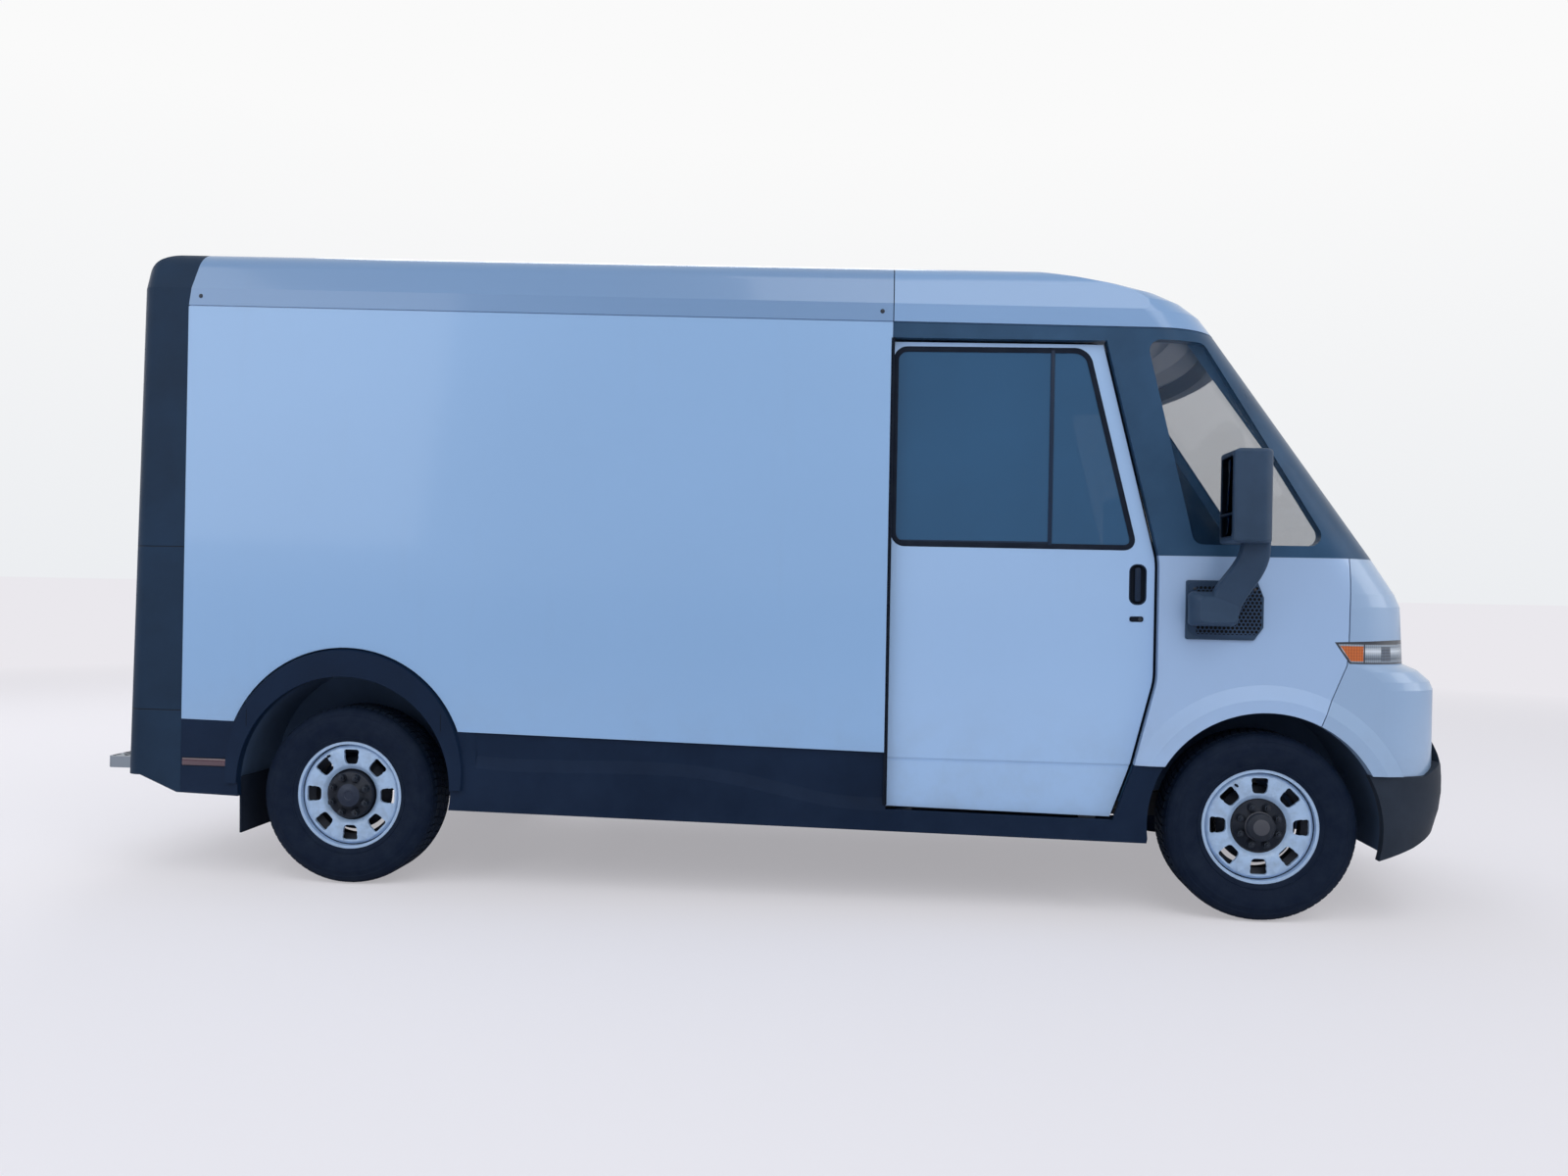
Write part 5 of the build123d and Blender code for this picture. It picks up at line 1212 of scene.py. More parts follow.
@dataclass
class BodyTrim(Trim):
    """Seals, a painted-shade strip under the roof rails, joint lines, marker lamps and fixings on the load
    body, in millimetres.
    """

    post_x: float = -743.0
    cab_x: float = 2345.0
    side_y: float = -1040.0
    top_rear: float = 2534.0
    top_front: float = 2458.0
    flare_x: float = 437.0
    marker: tuple[Pair, ...] = ((-735, -1030), (-735, -1043), (-560, -1044), (-500, -1052), (-495, -1030))
    marker_low: float = 510.0
    marker_high: float = 541.0
    screw: tuple[Pair, ...] = (
        (0.0, 0.004), (0.004, 0.0032), (0.0055, 0.0012), (0.0085, 0.001), (0.0095, 0.0), (0.0, 0.0),
    )
    sealer_depth: float = 0.008
    sealer_proud: float = 0.006

    def roof_line(self, x: float) -> float:
        """Height of the side panel's top line at a place along the body."""
        share = (x - self.post_x) / (self.cab_x - self.post_x)
        return self.top_rear + share * (self.top_front - self.top_rear)

    def roof_gasket(self) -> None:
        """Dark rubber-finished strip in the groove under the roof rail, deepening the groove's shade: painted
        shade.
        """
        rear, front = self.post_x + 3, self.cab_x - 5
        outline = [
            at(x, self.side_y + 6, self.roof_line(x) + rise)
            for x, rise in ((rear, 1), (front, 1), (front, 5), (rear, 5))
        ]
        self.fit(Form().plate(outline, OUTWARDS * 0.003).doubled(), "roof_gasket", Finish.SEAL)

    def roof_screws(self) -> None:
        """Domed screw at each end of the roof rails, in a dark washer."""
        form = Form()
        for x in (self.post_x + 55, self.cab_x - 45):
            spot = at(x, self.side_y - 0.2, self.roof_line(x) + 40)
            form.turned(self.screw, spot, OUTWARDS, 20)
        self.fit(form.doubled(), "roof_screws", Finish.HUB, "chassis_black")

    def pocket_seals(self) -> None:
        """Upright brush seal at the mouth of each door pocket."""
        form = Form().block(at(2338, self.side_y, 438), at(2354, -1012, 2392), 0.003)
        for x in (2340.0, 2345.5, 2351.0):
            form.block(at(x, self.side_y - 2, 440), at(x + 2.5, self.side_y + 1, 2390), 0.0009)
        self.fit(form.doubled(), "pocket_seals", Finish.SEAL)

    def marker_lamps(self) -> None:
        """Red side marker behind each rear wheel, set in a dark frame."""
        rise = Vector((0, 0, (self.marker_high - self.marker_low) / 1000.0))
        lens = Form().plate([at(x, y, self.marker_low) for x, y in self.marker], rise, edge=0.002)
        self.fit(lens.doubled(), "side_markers", Finish.MARKER_LENS, "lamp_red")
        rims = Form()
        for z in (self.marker_low - 4, self.marker_high):
            outline = [at(x * 1.004, y + 2, z) for x, y in self.marker]
            rims.plate(outline, Vector((0, 0, 0.004)), edge=0.001)
        self.fit(rims.doubled(), "side_marker_frames", Finish.SEAL)

    def flare_joints(self) -> None:
        """Joint lines each side of the rear wheel flares."""
        form = Form()
        for x in (-self.flare_x, self.flare_x):
            form.block(at(x - 1.5, self.side_y - 14.6, 690), at(x + 1.5, self.side_y + 2, 764), 0.0005)
        self.fit(form.doubled(), "flare_joints", Finish.GAP)

    def roof_joint(self) -> None:
        """Dark sealer in the joint between the two roofs, cut from the rear roof's own section."""
        form = Form.of_node("cargo_roof")
        part = form.mesh
        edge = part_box("cargo_roof")[1][0]
        bmesh.ops.bisect_plane(
            part, geom=part.verts[:] + part.edges[:] + part.faces[:],
            plane_co=(edge - self.sealer_depth, 0, 0), plane_no=(1, 0, 0), clear_inner=True,
        )
        bmesh.ops.holes_fill(part, edges=[e for e in part.edges if e.is_boundary], sides=0)
        middle_z = self.top_front / 1000.0
        for vert in part.verts:
            vert.co.x += self.sealer_proud
            vert.co.y *= 0.997
            vert.co.z = middle_z + (vert.co.z - middle_z) * 0.988
        self.fit(form.closed(), "roof_joint_seal", Finish.GAP)

    def build(self) -> None:
        """Build every piece."""
        self.roof_gasket()
        self.roof_screws()
        self.pocket_seals()
        self.marker_lamps()
        self.flare_joints()
        self.roof_joint()


@dataclass
class DoorTrim(Trim):
    """Skin, glass surround, handle, lock, lining and seals of the sliding doors, in millimetres."""

    face_y: float = -1004.0
    window: tuple[Pair, ...] = ((2359, 1530), (3357.9, 1526), (3147, 2344), (2359, 2352))
    opening: tuple[Pair, ...] = (
        (3279, 425), (3356, 636), (3443, 986), (3443, 1478), (3218, 2372), (2357, 2385),
    )
    lining: tuple[Pair, ...] = (
        (2380, 520), (3240, 520), (3330, 800), (3385, 1010), (3385, 1430), (2380, 1430),
    )
    divider: float = 3009.0
    handle: Pair = (3370.0, 1377.0)
    key: Pair = (3367.0, 1234.0)
    barrel: tuple[Pair, ...] = (
        (0.0, 0.0016), (0.0024, 0.0016), (0.0028, 0.0034), (0.0072, 0.0034), (0.0084, 0.0022),
        (0.0084, -0.0002), (0.0, -0.0002),
    )

    def gasket(self, right: bool, body: str) -> None:
        """Black rubber ring round the door's window."""
        middle_x = sum(x for x, _ in self.window) / 4
        middle_z = sum(z for _, z in self.window) / 4
        outline = [
            at(
                x + math.copysign(9.0, x - middle_x) * (1.12 if x > middle_x else 1.0), self.face_y - 1.2,
                z + math.copysign(9.0, z - middle_z),
            )
            for x, z in self.window
        ]
        ring = Form().plate(outline, INWARDS * 0.0042, 0.058, rim=0.022, edge=0.001, segments=8)
        self.fit(ring.side(right), f"{body}_gasket", Finish.SEAL, body=body)

    def bars(self, right: bool, body: str) -> None:
        """Upright divider of the door's glass, with its running channel."""
        form = Form().block(at(self.divider - 8, -1005.4, 1534), at(self.divider + 8, -998.4, 2344), 0.0018)
        form.block(at(2366, -1001.6, 1538), at(self.divider, -998.6, 1549), 0.001)
        self.fit(form.side(right), f"{body}_divider", Finish.HANDLE, body=body)

    @staticmethod
    def tablet(
        place: Pair, half: float, rise: float, y: float, depth: float, corner: float, segments: int = 8,
        rim: float = 0.0, edge: float = 0.0,
    ) -> Form:
        """A rounded oblong standing along the door.

        Args:
            place: Its middle along the van and its height.
            half: Half its width.
            rise: Half its height.
            y: Where its outer face stands.
            depth: Its thickness inwards, in metres, or outwards when below nought.
            corner: Rounding of its corners, in metres.
            segments: Facets of each corner.
            rim: Width of its ring in metres, when it is one.
            edge: Rounding of its edges, in metres.

        Returns:
            The new form.
        """
        outline = [at(place[0] + across, y, place[1] + up) for across, up in oblong(half, rise)]
        return Form().plate(outline, INWARDS * depth, corner, rim, edge, segments)

    def panel(self, right: bool, body: str) -> None:
        """Door skin, cut from the CAD door, with the handle's pocket and the lock's slot sunk into it."""
        cutter = self.tablet(self.handle, 33, 82, -1010, 0.022, 0.030)
        cutter.add(self.tablet(self.key, 29, 12, -1010, 0.011, 0.007).mesh)
        node = f"door_{'right' if right else 'left'}"
        self.fit_cut(node, cutter.side(right), f"{body}_skin", Finish.DOOR, "paint_white", body, 12.0)

    def grip(self, right: bool, body: str) -> None:
        """Pull handle in its dark pocket."""
        cup = self.tablet(self.handle, 36, 85, -1004.4, 0.004, 0.032, rim=0.0055, edge=0.0014)
        cup.add(self.tablet(self.handle, 32.8, 81.8, -1003.6, 0.0154, 0.0298, rim=0.0016).mesh)
        self.fit(cup.side(right), f"{body}_handle_cup", Finish.HANDLE, body=body)
        lining = self.tablet(self.handle, 31, 80, -988.2, -0.0012, 0.028)
        self.fit(lining.side(right), f"{body}_handle_lining", Finish.GAP, body=body)
        x, z = self.handle
        bar = self.tablet((x + 1, z), 12, 70, -1002.0, 0.008, 0.009, segments=6, edge=0.003)
        for end in (-60, 60):
            bar.block(at(x - 9, -996, z + end - 7), at(x + 11, -989.4, z + end + 7), 0.002)
        self.fit(bar.side(right), f"{body}_handle", Finish.HANDLE, body=body)

    def lock(self, right: bool, body: str) -> None:
        """Key cylinder in its dark slot."""
        plate = self.tablet(self.key, 28, 11, -999.4, -0.0014, 0.010, segments=6)
        self.fit(plate.side(right), f"{body}_lock_plate", Finish.GAP, body=body)
        barrel = Form().turned(self.barrel, at(self.key[0] + 15, -1000.8, self.key[1]), OUTWARDS, 24)
        self.fit(barrel.side(right), f"{body}_lock_barrel", Finish.HUB, "step_alloy", body)

    def inner_panel(self, right: bool, body: str) -> None:
        """Moulded lining on the door's inside."""
        outline = [at(x, -963.2, z) for x, z in self.lining]
        form = Form().plate(outline, INWARDS * 0.0022, 0.05, edge=0.0006, segments=6)
        self.fit(form.side(right), f"{body}_lining", Finish.LINING, "liner_grey", body)

    def opening_seals(self) -> None:
        """Rubber seals in the door openings, up their front edges and along their headers."""
        path = [at(x, -984, z) for x, z in self.opening]
        eased: list[Vector] = [path[0]]
        for before, point, after in zip(path, path[1:], path[2:]):
            eased.append(point.lerp(before, min(0.4, 0.11 / (point - before).length)))
            eased.append(point)
            eased.append(point.lerp(after, min(0.4, 0.11 / (point - after).length)))
        eased.append(path[-1])
        self.fit(Form().pipe(eased, 0.0046).doubled(), "door_opening_seals", Finish.SEAL)

    def build(self) -> None:
        """Build the pieces of both doors."""
        for right, body in ((True, "sliding_door_right"), (False, "sliding_door_left")):
            self.panel(right, body)
            self.gasket(right, body)
            self.bars(right, body)
            self.grip(right, body)
            self.lock(right, body)
            self.inner_panel(right, body)
        self.opening_seals()


@dataclass
class MirrorTrim(Trim):
    """Mirror panes, bezels and the perforated cover on the mirrors' feet, in millimetres."""

    pane: Point = (-233.0, -1247.0, 1722.0)
    tangent: Point = (0.057, 1.0, 0.0)
    outward: Point = (-1.0, 0.057, 0.0)
    foot: tuple[Pair, ...] = (
        (-315, 1392), (-60, 1392), (-34, 1352), (-34, 1206), (-70, 1166), (-290, 1166), (-325, 1200),
        (-325, 1380),
    )
    screw: tuple[Pair, ...] = ((0.0, 0.0032), (0.004, 0.003), (0.0064, 0.001), (0.0064, 0.0), (0.0, 0.0))

    def face(self, across: float, up: float, out: float) -> Vector:
        """A point on the pane, across, up and out from its middle."""
        spot = Vector(self.pane) + Vector(self.tangent) * across + Vector((0, 0, up))
        return ahead(*(spot + Vector(self.outward) * out))

    def panes(self) -> None:
        """Tall upper glass and a wide-angle glass below it, in one bezel."""
        form = Form()
        for middle_up, rise in ((46.0, 108.0), (-113.0, 41.0)):
            outline = [self.face(across, middle_up + up, -6.5) for across, up in oblong(97, rise)]
            form.plate(outline, Vector(self.outward) * 0.003, 0.018, edge=0.0009, segments=6)
        self.fit(form.doubled(), "mirror_panes", Finish.MIRROR_GLASS, "glazing")
        bezel = [self.face(across, up, -1.0) for across, up in oblong(103, 159)]
        ring = Form().plate(bezel, Vector(self.outward) * 0.0024, 0.024, rim=0.005, edge=0.0009, segments=8)
        ring.block(self.face(-98, -70, -7), self.face(98, -64, -2), 0.001)
        self.fit(ring.doubled(), "mirror_bezels", Finish.HANDLE)

    def foot_cover(self) -> None:
        """Raised outer cover of the foot, with its perforated field and its screws."""
        outline = [ahead(x, -1052.4, z) for x, z in self.foot]
        cover = Form().plate(outline, OUTWARDS * 0.0035, 0.018, edge=0.0016)
        self.fit(cover.doubled(), "mirror_foot_covers", Finish.PERFORATED)
        form = Form()
        for x, z in ((-300, 1216), (-300, 1364), (-62, 1364)):
            form.turned(self.screw, ahead(x, -1055.6, z), OUTWARDS, 16)
        self.fit(form.doubled(), "mirror_foot_screws", Finish.HUB, "chassis_black")

    def build(self) -> None:
        """Build the pieces of both mirrors."""
        self.panes()
        self.foot_cover()


@dataclass
class FrontTrim(Trim):
    """Wipers, washer jets and intake bars, in millimetres."""

    bow: float = 5200.0
    slope: float = 0.713
    foot_x: float = 611.0
    foot_z: float = 1497.0
    out: Pair = (0.814, 0.58)
    nose_x: float = 909.0

    def screen(self, y: float, z: float, out: float = 0.0) -> Vector:
        """A point a little way out from the windscreen."""
        x = self.foot_x - self.slope * (z - self.foot_z) - y * y / self.bow
        return ahead(x + out * self.out[0], y, z + out * self.out[1])

    def wiper(self, arms: Form, blades: Form, pivot: float, tip: float) -> None:
        """Add one wiper with its sprung joint, parked low on the screen.

        Args:
            arms: The form that takes the arm and the blade's back.
            blades: The form that takes the blade.
            pivot: Where it turns, to the left of the middle.
            tip: Where its blade ends.
        """
        def along(share: float, z: float, out: float) -> Vector:
            """A point over the screen, a share of the way from the pivot to the tip."""
            return self.screen(pivot + (tip - pivot) * share, z, out)

        elbow = along(0.2, 1512.0, 26.0)
        reach = [along(0.0, 1496.0, 10.0), elbow, along(0.4, 1534.0, 28.0), along(0.62, 1556.0, 24.0)]
        arms.rod(along(0.0, 1494.0, -8.0), along(0.0, 1494.0, 22.0), 0.017, 0.013, 20, 0.002)
        arms.pipe(reach, 0.0062)
        arms.rod(elbow, along(0.42, 1536.0, 27.0), 0.009, 0.0065, 12, 0.001)
        for form, shares, out, radius in (
            (blades, (0.18, 0.4, 0.62, 0.84, 1.06), 9.0, 0.0042),
            (arms, (0.22, 0.42, 0.62, 0.82, 1.02), 15.0, 0.0038),
        ):
            form.pipe([along(share, 1548.0 + 22.0 * share, out) for share in shares], radius)
        arms.rod(along(0.62, 1557.0, 26.0), along(0.62, 1561.0, 10.0), 0.007, None, 10, 0.001)

    def wipers(self) -> None:
        """Two wipers, their arms and blades a piece each."""
        arms = Form()
        blades = Form()
        for pivot, tip in ((-420.0, 250.0), (330.0, -330.0)):
            self.wiper(arms, blades, pivot, tip)
        self.fit(arms, "wiper_arms", Finish.HANDLE)
        self.fit(blades, "wiper_blades", Finish.SEAL)

    def washer_jets(self) -> None:
        """Washer jets below the screen."""
        form = Form()
        for y in (-230.0, 60.0):
            form.rod(self.screen(y, 1474.0, -4.0), self.screen(y, 1474.0, 9.0), 0.011, 0.007, 14, 0.001)
        self.fit(form, "washer_jets", Finish.HANDLE)

    def intake_bars(self) -> None:
        """Upright bars behind the bumper's intake."""
        form = Form()
        for y in (-430.0, -215.0, 0.0, 215.0, 430.0):
            front = self.nose_x - y * y / self.bow
            form.block(ahead(front - 60, y - 4, 556), ahead(front - 22, y + 4, 686), 0.002)
        self.fit(form, "intake_bars", Finish.HANDLE)

    def build(self) -> None:
        """Build every piece."""
        self.wipers()
        self.washer_jets()
        self.intake_bars()


@dataclass
class Wheel(Trim):
    """One road wheel's tyre, disc, nuts, hub cap and valve, drawn on the right and in metres."""

    name: str
    right: bool
    front: bool
    radius: float = 0.390
    centre_y: float = 0.881
    wall: tuple[Pair, ...] = (
        (0.2345, -0.093), (0.2370, -0.099), (0.2440, -0.1035), (0.2520, -0.1060), (0.2535, -0.1085),
        (0.2560, -0.1085), (0.2575, -0.1068), (0.2750, -0.1135), (0.2960, -0.1205), (0.3130, -0.124),
        (0.3150, -0.124), (0.3290, -0.123), (0.3310, -0.1234), (0.3330, -0.1224), (0.3520, -0.1168),
        (0.3540, -0.1176), (0.3640, -0.113), (0.3745, -0.1055), (0.3800, -0.0985),
    )
    crown: tuple[Pair, ...] = (
        (0.3835, -0.0900), (0.3848, -0.0780), (0.3850, 0.0), (0.3848, 0.0780), (0.3835, 0.0900),
    )
    inside: tuple[Pair, ...] = ((0.2300, 0.088), (0.2300, -0.088))
    band: float = 0.3845
    band_width: float = 0.206
    grooves: tuple[float, ...] = (-0.0705, -0.0235, 0.0235, 0.0705)
    blocks: int = 72
    nuts: int = 8
    nut_circle: float = 0.082
    hole: tuple[Pair, ...] = ((0.147, -0.026), (0.147, 0.026), (0.199, 0.037), (0.199, -0.037))
    cap_front: tuple[Pair, ...] = (
        (0.0, 0.116), (0.026, 0.1155), (0.040, 0.1125), (0.0475, 0.106), (0.050, 0.099), (0.0555, 0.0965),
        (0.0605, 0.093), (0.0605, 0.076), (0.0, 0.076),
    )
    cap_rear: tuple[Pair, ...] = (
        (0.0, 0.1045), (0.018, 0.1045), (0.020, 0.1060), (0.030, 0.1060), (0.033, 0.1045), (0.050, 0.1040),
        (0.0585, 0.1015), (0.0615, 0.0970), (0.0615, 0.090), (0.0, 0.090),
    )

    @property
    def body(self) -> str:
        """The wheel's moving body, named as its CAD node is."""
        return f"wheel_{self.name}"

    @property
    def centre(self) -> Vector:
        """The wheel's centre, on the right-hand side."""
        return Vector((FRONT_AXLE if self.front else REAR_AXLE, -self.centre_y, self.radius))

    def spoke(self, step: float) -> tuple[Vector, Vector]:
        """The directions out from the hub and round it, at a step of the nuts' circle."""
        angle = math.tau * step / self.nuts
        return Vector((math.cos(angle), 0, math.sin(angle))), Vector((-math.sin(angle), 0, math.cos(angle)))

    def tyre(self) -> None:
        """Tyre with rim beads, rounded shoulders, sidewall rings and a blocked tread."""
        mirrored = tuple((radius, -height) for radius, height in reversed(self.wall))
        profile = self.wall + self.crown + mirrored + self.inside
        form = Form().turned(profile, self.centre, INWARDS, 96, closed=True).add(self.tread())
        piece = self.fit(
            form.side(self.right), f"tyre_detail_{self.name}", Finish.TYRE, "tyre_rubber", self.body, 28.0
        )
        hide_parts(f"tyre_{self.name}")

    def tread(self) -> bmesh.types.BMesh:
        """Ring of tread blocks, each raised from one quad of a banded tube."""
        part = bmesh.new()
        bmesh.ops.create_cone(
            part, cap_ends=False, segments=self.blocks, radius1=self.band, radius2=self.band,
            depth=self.band_width,
        )
        for height in self.grooves:
            bmesh.ops.bisect_plane(
                part, geom=part.verts[:] + part.edges[:] + part.faces[:], plane_co=(0, 0, height),
                plane_no=(0, 0, 1),
            )
        for vert in part.verts:
            vert.co = Matrix.Rotation(0.035 * math.sin(vert.co.z * 28.0), 3, "Z") @ vert.co
            drop = max(0.0, abs(vert.co.z) - self.grooves[-1]) * 0.22
            vert.co.xy *= (self.band - drop) / self.band
        blocks = part.faces[:]
        bmesh.ops.inset_individual(part, faces=blocks, thickness=0.0036, depth=0.0, use_even_offset=True)
        for face in blocks:
            middle_point = face.calc_center_median()
            outward = Vector((middle_point.x, middle_point.y, 0.0)).normalized()
            lift = 0.0054 - max(0.0, abs(middle_point.z) - 0.06) * 0.05
            made = bmesh.ops.extrude_discrete_faces(part, faces=[face])["faces"]
            bmesh.ops.translate(part, vec=outward * lift, verts=[v for f in made for v in f.verts])
        bmesh.ops.transform(part, matrix=stand(INWARDS, self.centre), verts=part.verts[:])
        bmesh.ops.recalc_face_normals(part, faces=part.faces[:])
        return part

    def disc(self) -> None:
        """Steel wheel, cut from the CAD wheel, with rounded hand holes."""
        cutter = Form()
        start = self.centre + OUTWARDS * 0.120
        for step in range(self.nuts):
            out, round_it = self.spoke(step)
            hole = [start + out * radius + round_it * across for radius, across in self.hole]
            cutter.plate(hole, INWARDS * 0.075, 0.014)
        name = f"disc_{self.name}"
        self.fit_cut(self.body, cutter.side(self.right), name, Finish.WHEEL, "wheel_white", self.body, 28.0)

    def fixings(self) -> None:
        """Wheel nuts on their studs, round the hub."""
        form = Form()
        seat = self.centre + OUTWARDS * (0.070 if self.front else 0.094)
        for step in range(self.nuts):
            spot = seat + self.spoke(step + 0.5)[0] * self.nut_circle
            form.rod(spot, spot + OUTWARDS * 0.004, 0.0175, 0.0160, 20)
            form.rod(spot + OUTWARDS * 0.003, spot + OUTWARDS * 0.021, 0.0142, 0.0142, 6, 0.0014)
            form.rod(spot + OUTWARDS * 0.020, spot + OUTWARDS * 0.029, 0.0076, 0.0068, 14, 0.0008)
        self.fit(form.side(self.right), f"nuts_{self.name}", Finish.NUT, "chassis_black", self.body)

    def cap(self) -> None:
        """Hub cap in the wheel's middle."""
        profile = self.cap_front if self.front else self.cap_rear
        finish = Finish.CAP_GREY if self.front else Finish.CAP_DARK
        form = Form().turned(profile, self.centre, OUTWARDS, 48)
        self.fit(form.side(self.right), f"cap_{self.name}", finish, "chassis_black", self.body)

    def valve(self) -> None:
        """Valve stem on the rim."""
        lean = Vector((math.cos(2.1), 0, math.sin(2.1)))
        foot = self.centre + lean * 0.196 + OUTWARDS * 0.078
        form = Form().rod(foot, foot + OUTWARDS * 0.020 - lean * 0.004, 0.0048, 0.0040, 12, 0.0006)
        form.rod(foot + OUTWARDS * 0.018, foot + OUTWARDS * 0.028 - lean * 0.005, 0.0052, None, 12, 0.0008)
        self.fit(form.side(self.right), f"valve_{self.name}", Finish.SEAL, body=self.body)

    def build(self) -> None:
        """Build every piece of the wheel."""
        self.tyre()
        self.disc()
        self.fixings()
        self.cap()
        self.valve()


@dataclass
class RearTrim(Trim):
    """Lamps, seals, latch and step grip on the van's rear, in millimetres."""

    top_x: float = -973.0
    top_z: float = 2534.0
    foot_x: float = -1010.0
    foot_z: float = 461.0
    latch_z: float = 774.0
    slats: int = 11
    slat_foot: float = 742.0
    slat_pitch: float = 152.5

    def face(self, z: float) -> float:
        """How far back the rear surround's face stands at a height."""
        share = (self.top_z - z) / (self.top_z - self.foot_z)
        return self.top_x + share * (self.foot_x - self.top_x)

    def plates(self, across: Pair, rise: Pair, proud: float, thick: float, corner: float = 0.006) -> Form:
        """A rounded lens or plate on the rear face, on both sides.

        Args:
            across: Its inner and outer edge.
            rise: Its lower and upper edge.
            proud: How far it stands out from the face.
            thick: Its thickness in metres.
            corner: Rounding of its corners, in metres.

        Returns:
            The new form.
        """
        (inner, outer), (low, high) = across, rise
        corners = ((inner, low), (outer, low), (outer, high), (inner, high))
        outline = [at(self.face(z) - proud, -y, z) for y, z in corners]
        return Form().plate(outline, Vector((thick, 0, 0)), corner, edge=0.0012).doubled()

    def lamps(self) -> None:
        """Stacked stop, turn and reversing lenses with a reflector below, and the roof's markers."""
        for name, rise, finish, slot in (
            ("stop_lenses", (1408, 1514), Finish.RED_LENS, "lamp_red"),
            ("turn_lenses", (1290, 1402), Finish.AMBER_LENS, "lamp_clear"),
            ("reversing_lenses", (1222, 1284), Finish.CLEAR_LENS, "lamp_clear"),
            ("tail_lenses", (1156, 1216), Finish.RED_LENS, "lamp_red"),
        ):
            self.fit(self.plates((923, 963), rise, 5.5, 0.004), name, finish, slot)
        reflectors = self.plates((925, 961), (760, 820), 4.0, 0.006)
        self.fit(reflectors, "rear_reflectors", Finish.RED_LENS, "lamp_red")
        frames = self.plates((921, 965), (756, 824), 1.5, 0.004, 0.009)
        self.fit(frames, "rear_reflector_frames", Finish.HANDLE)
        form = Form()
        face = self.face(2440)
        for y in (-260.0, 0.0, 260.0):
            form.block(at(face - 9, y - 48, 2432), at(face + 2, y + 48, 2456), 0.004)
        self.fit(form, "roof_marker_lenses", Finish.RED_LENS, "lamp_red")

    def door_seal(self) -> None:
        """Seal round the rear opening, in front of the roll door's curtain."""
        corners = ((-913, 632), (-913, 2328), (913, 2328), (913, 632))
        form = Form().pipe([at(self.face(z) + 30, y, z) for y, z in corners], 0.009, smooth=False)
        form.block(at(-932, -908, 632), at(-915, 908, 688), 0.004)
        self.fit(form, "rear_opening_seal", Finish.SEAL)

    def latch(self) -> None:
        """Lift handle and lock on a plate at the roll door's foot."""
        outline = [at(-914.5, y, self.latch_z + up) for y, up in oblong(95, 32)]
        form = Form().plate(outline, Vector((-0.004, 0, 0)), 0.012, edge=0.001)
        loop = ((-916, -62), (-942, -56), (-944, 0), (-942, 56), (-916, 62))
        form.pipe([at(x, y, self.latch_z) for x, y in loop], 0.007)
        form.rod(at(-916, 72, self.latch_z), at(-928, 72, self.latch_z), 0.011, 0.010, 20, 0.001)
        self.fit(form, "roll_door_latch", Finish.ALLOY, "step_alloy")

    def clips(self) -> None:
        """A clip at each end of every slat of the roll door."""
        form = Form()
        for step in range(self.slats):
            z = self.slat_foot + step * self.slat_pitch
            for y in (-905, 880):
                form.block(at(-915.4, y, z - 3), at(-913.2, y + 25, z + 3), 0.0006)
        self.fit(form, "slat_clips", Finish.HUB, "chassis_black")

    def step_grip(self) -> None:
        """Raised grip bars on the rear step's tread, staggered from row to row."""
        form = Form()
        for row, x in enumerate((-1148, -1120, -1092, -1064, -1036)):
            for y in range(-904 + (row % 2) * 38, 880, 76):
                form.block(at(x - 5, y, 519.4), at(x + 5, y + 48, 521.6), 0.0009, 1)
        self.fit(form, "step_grip", Finish.SEAL)

    def build(self) -> None:
        """Build every piece."""
        self.lamps()
        self.door_seal()
        self.latch()
        self.clips()
        self.step_grip()


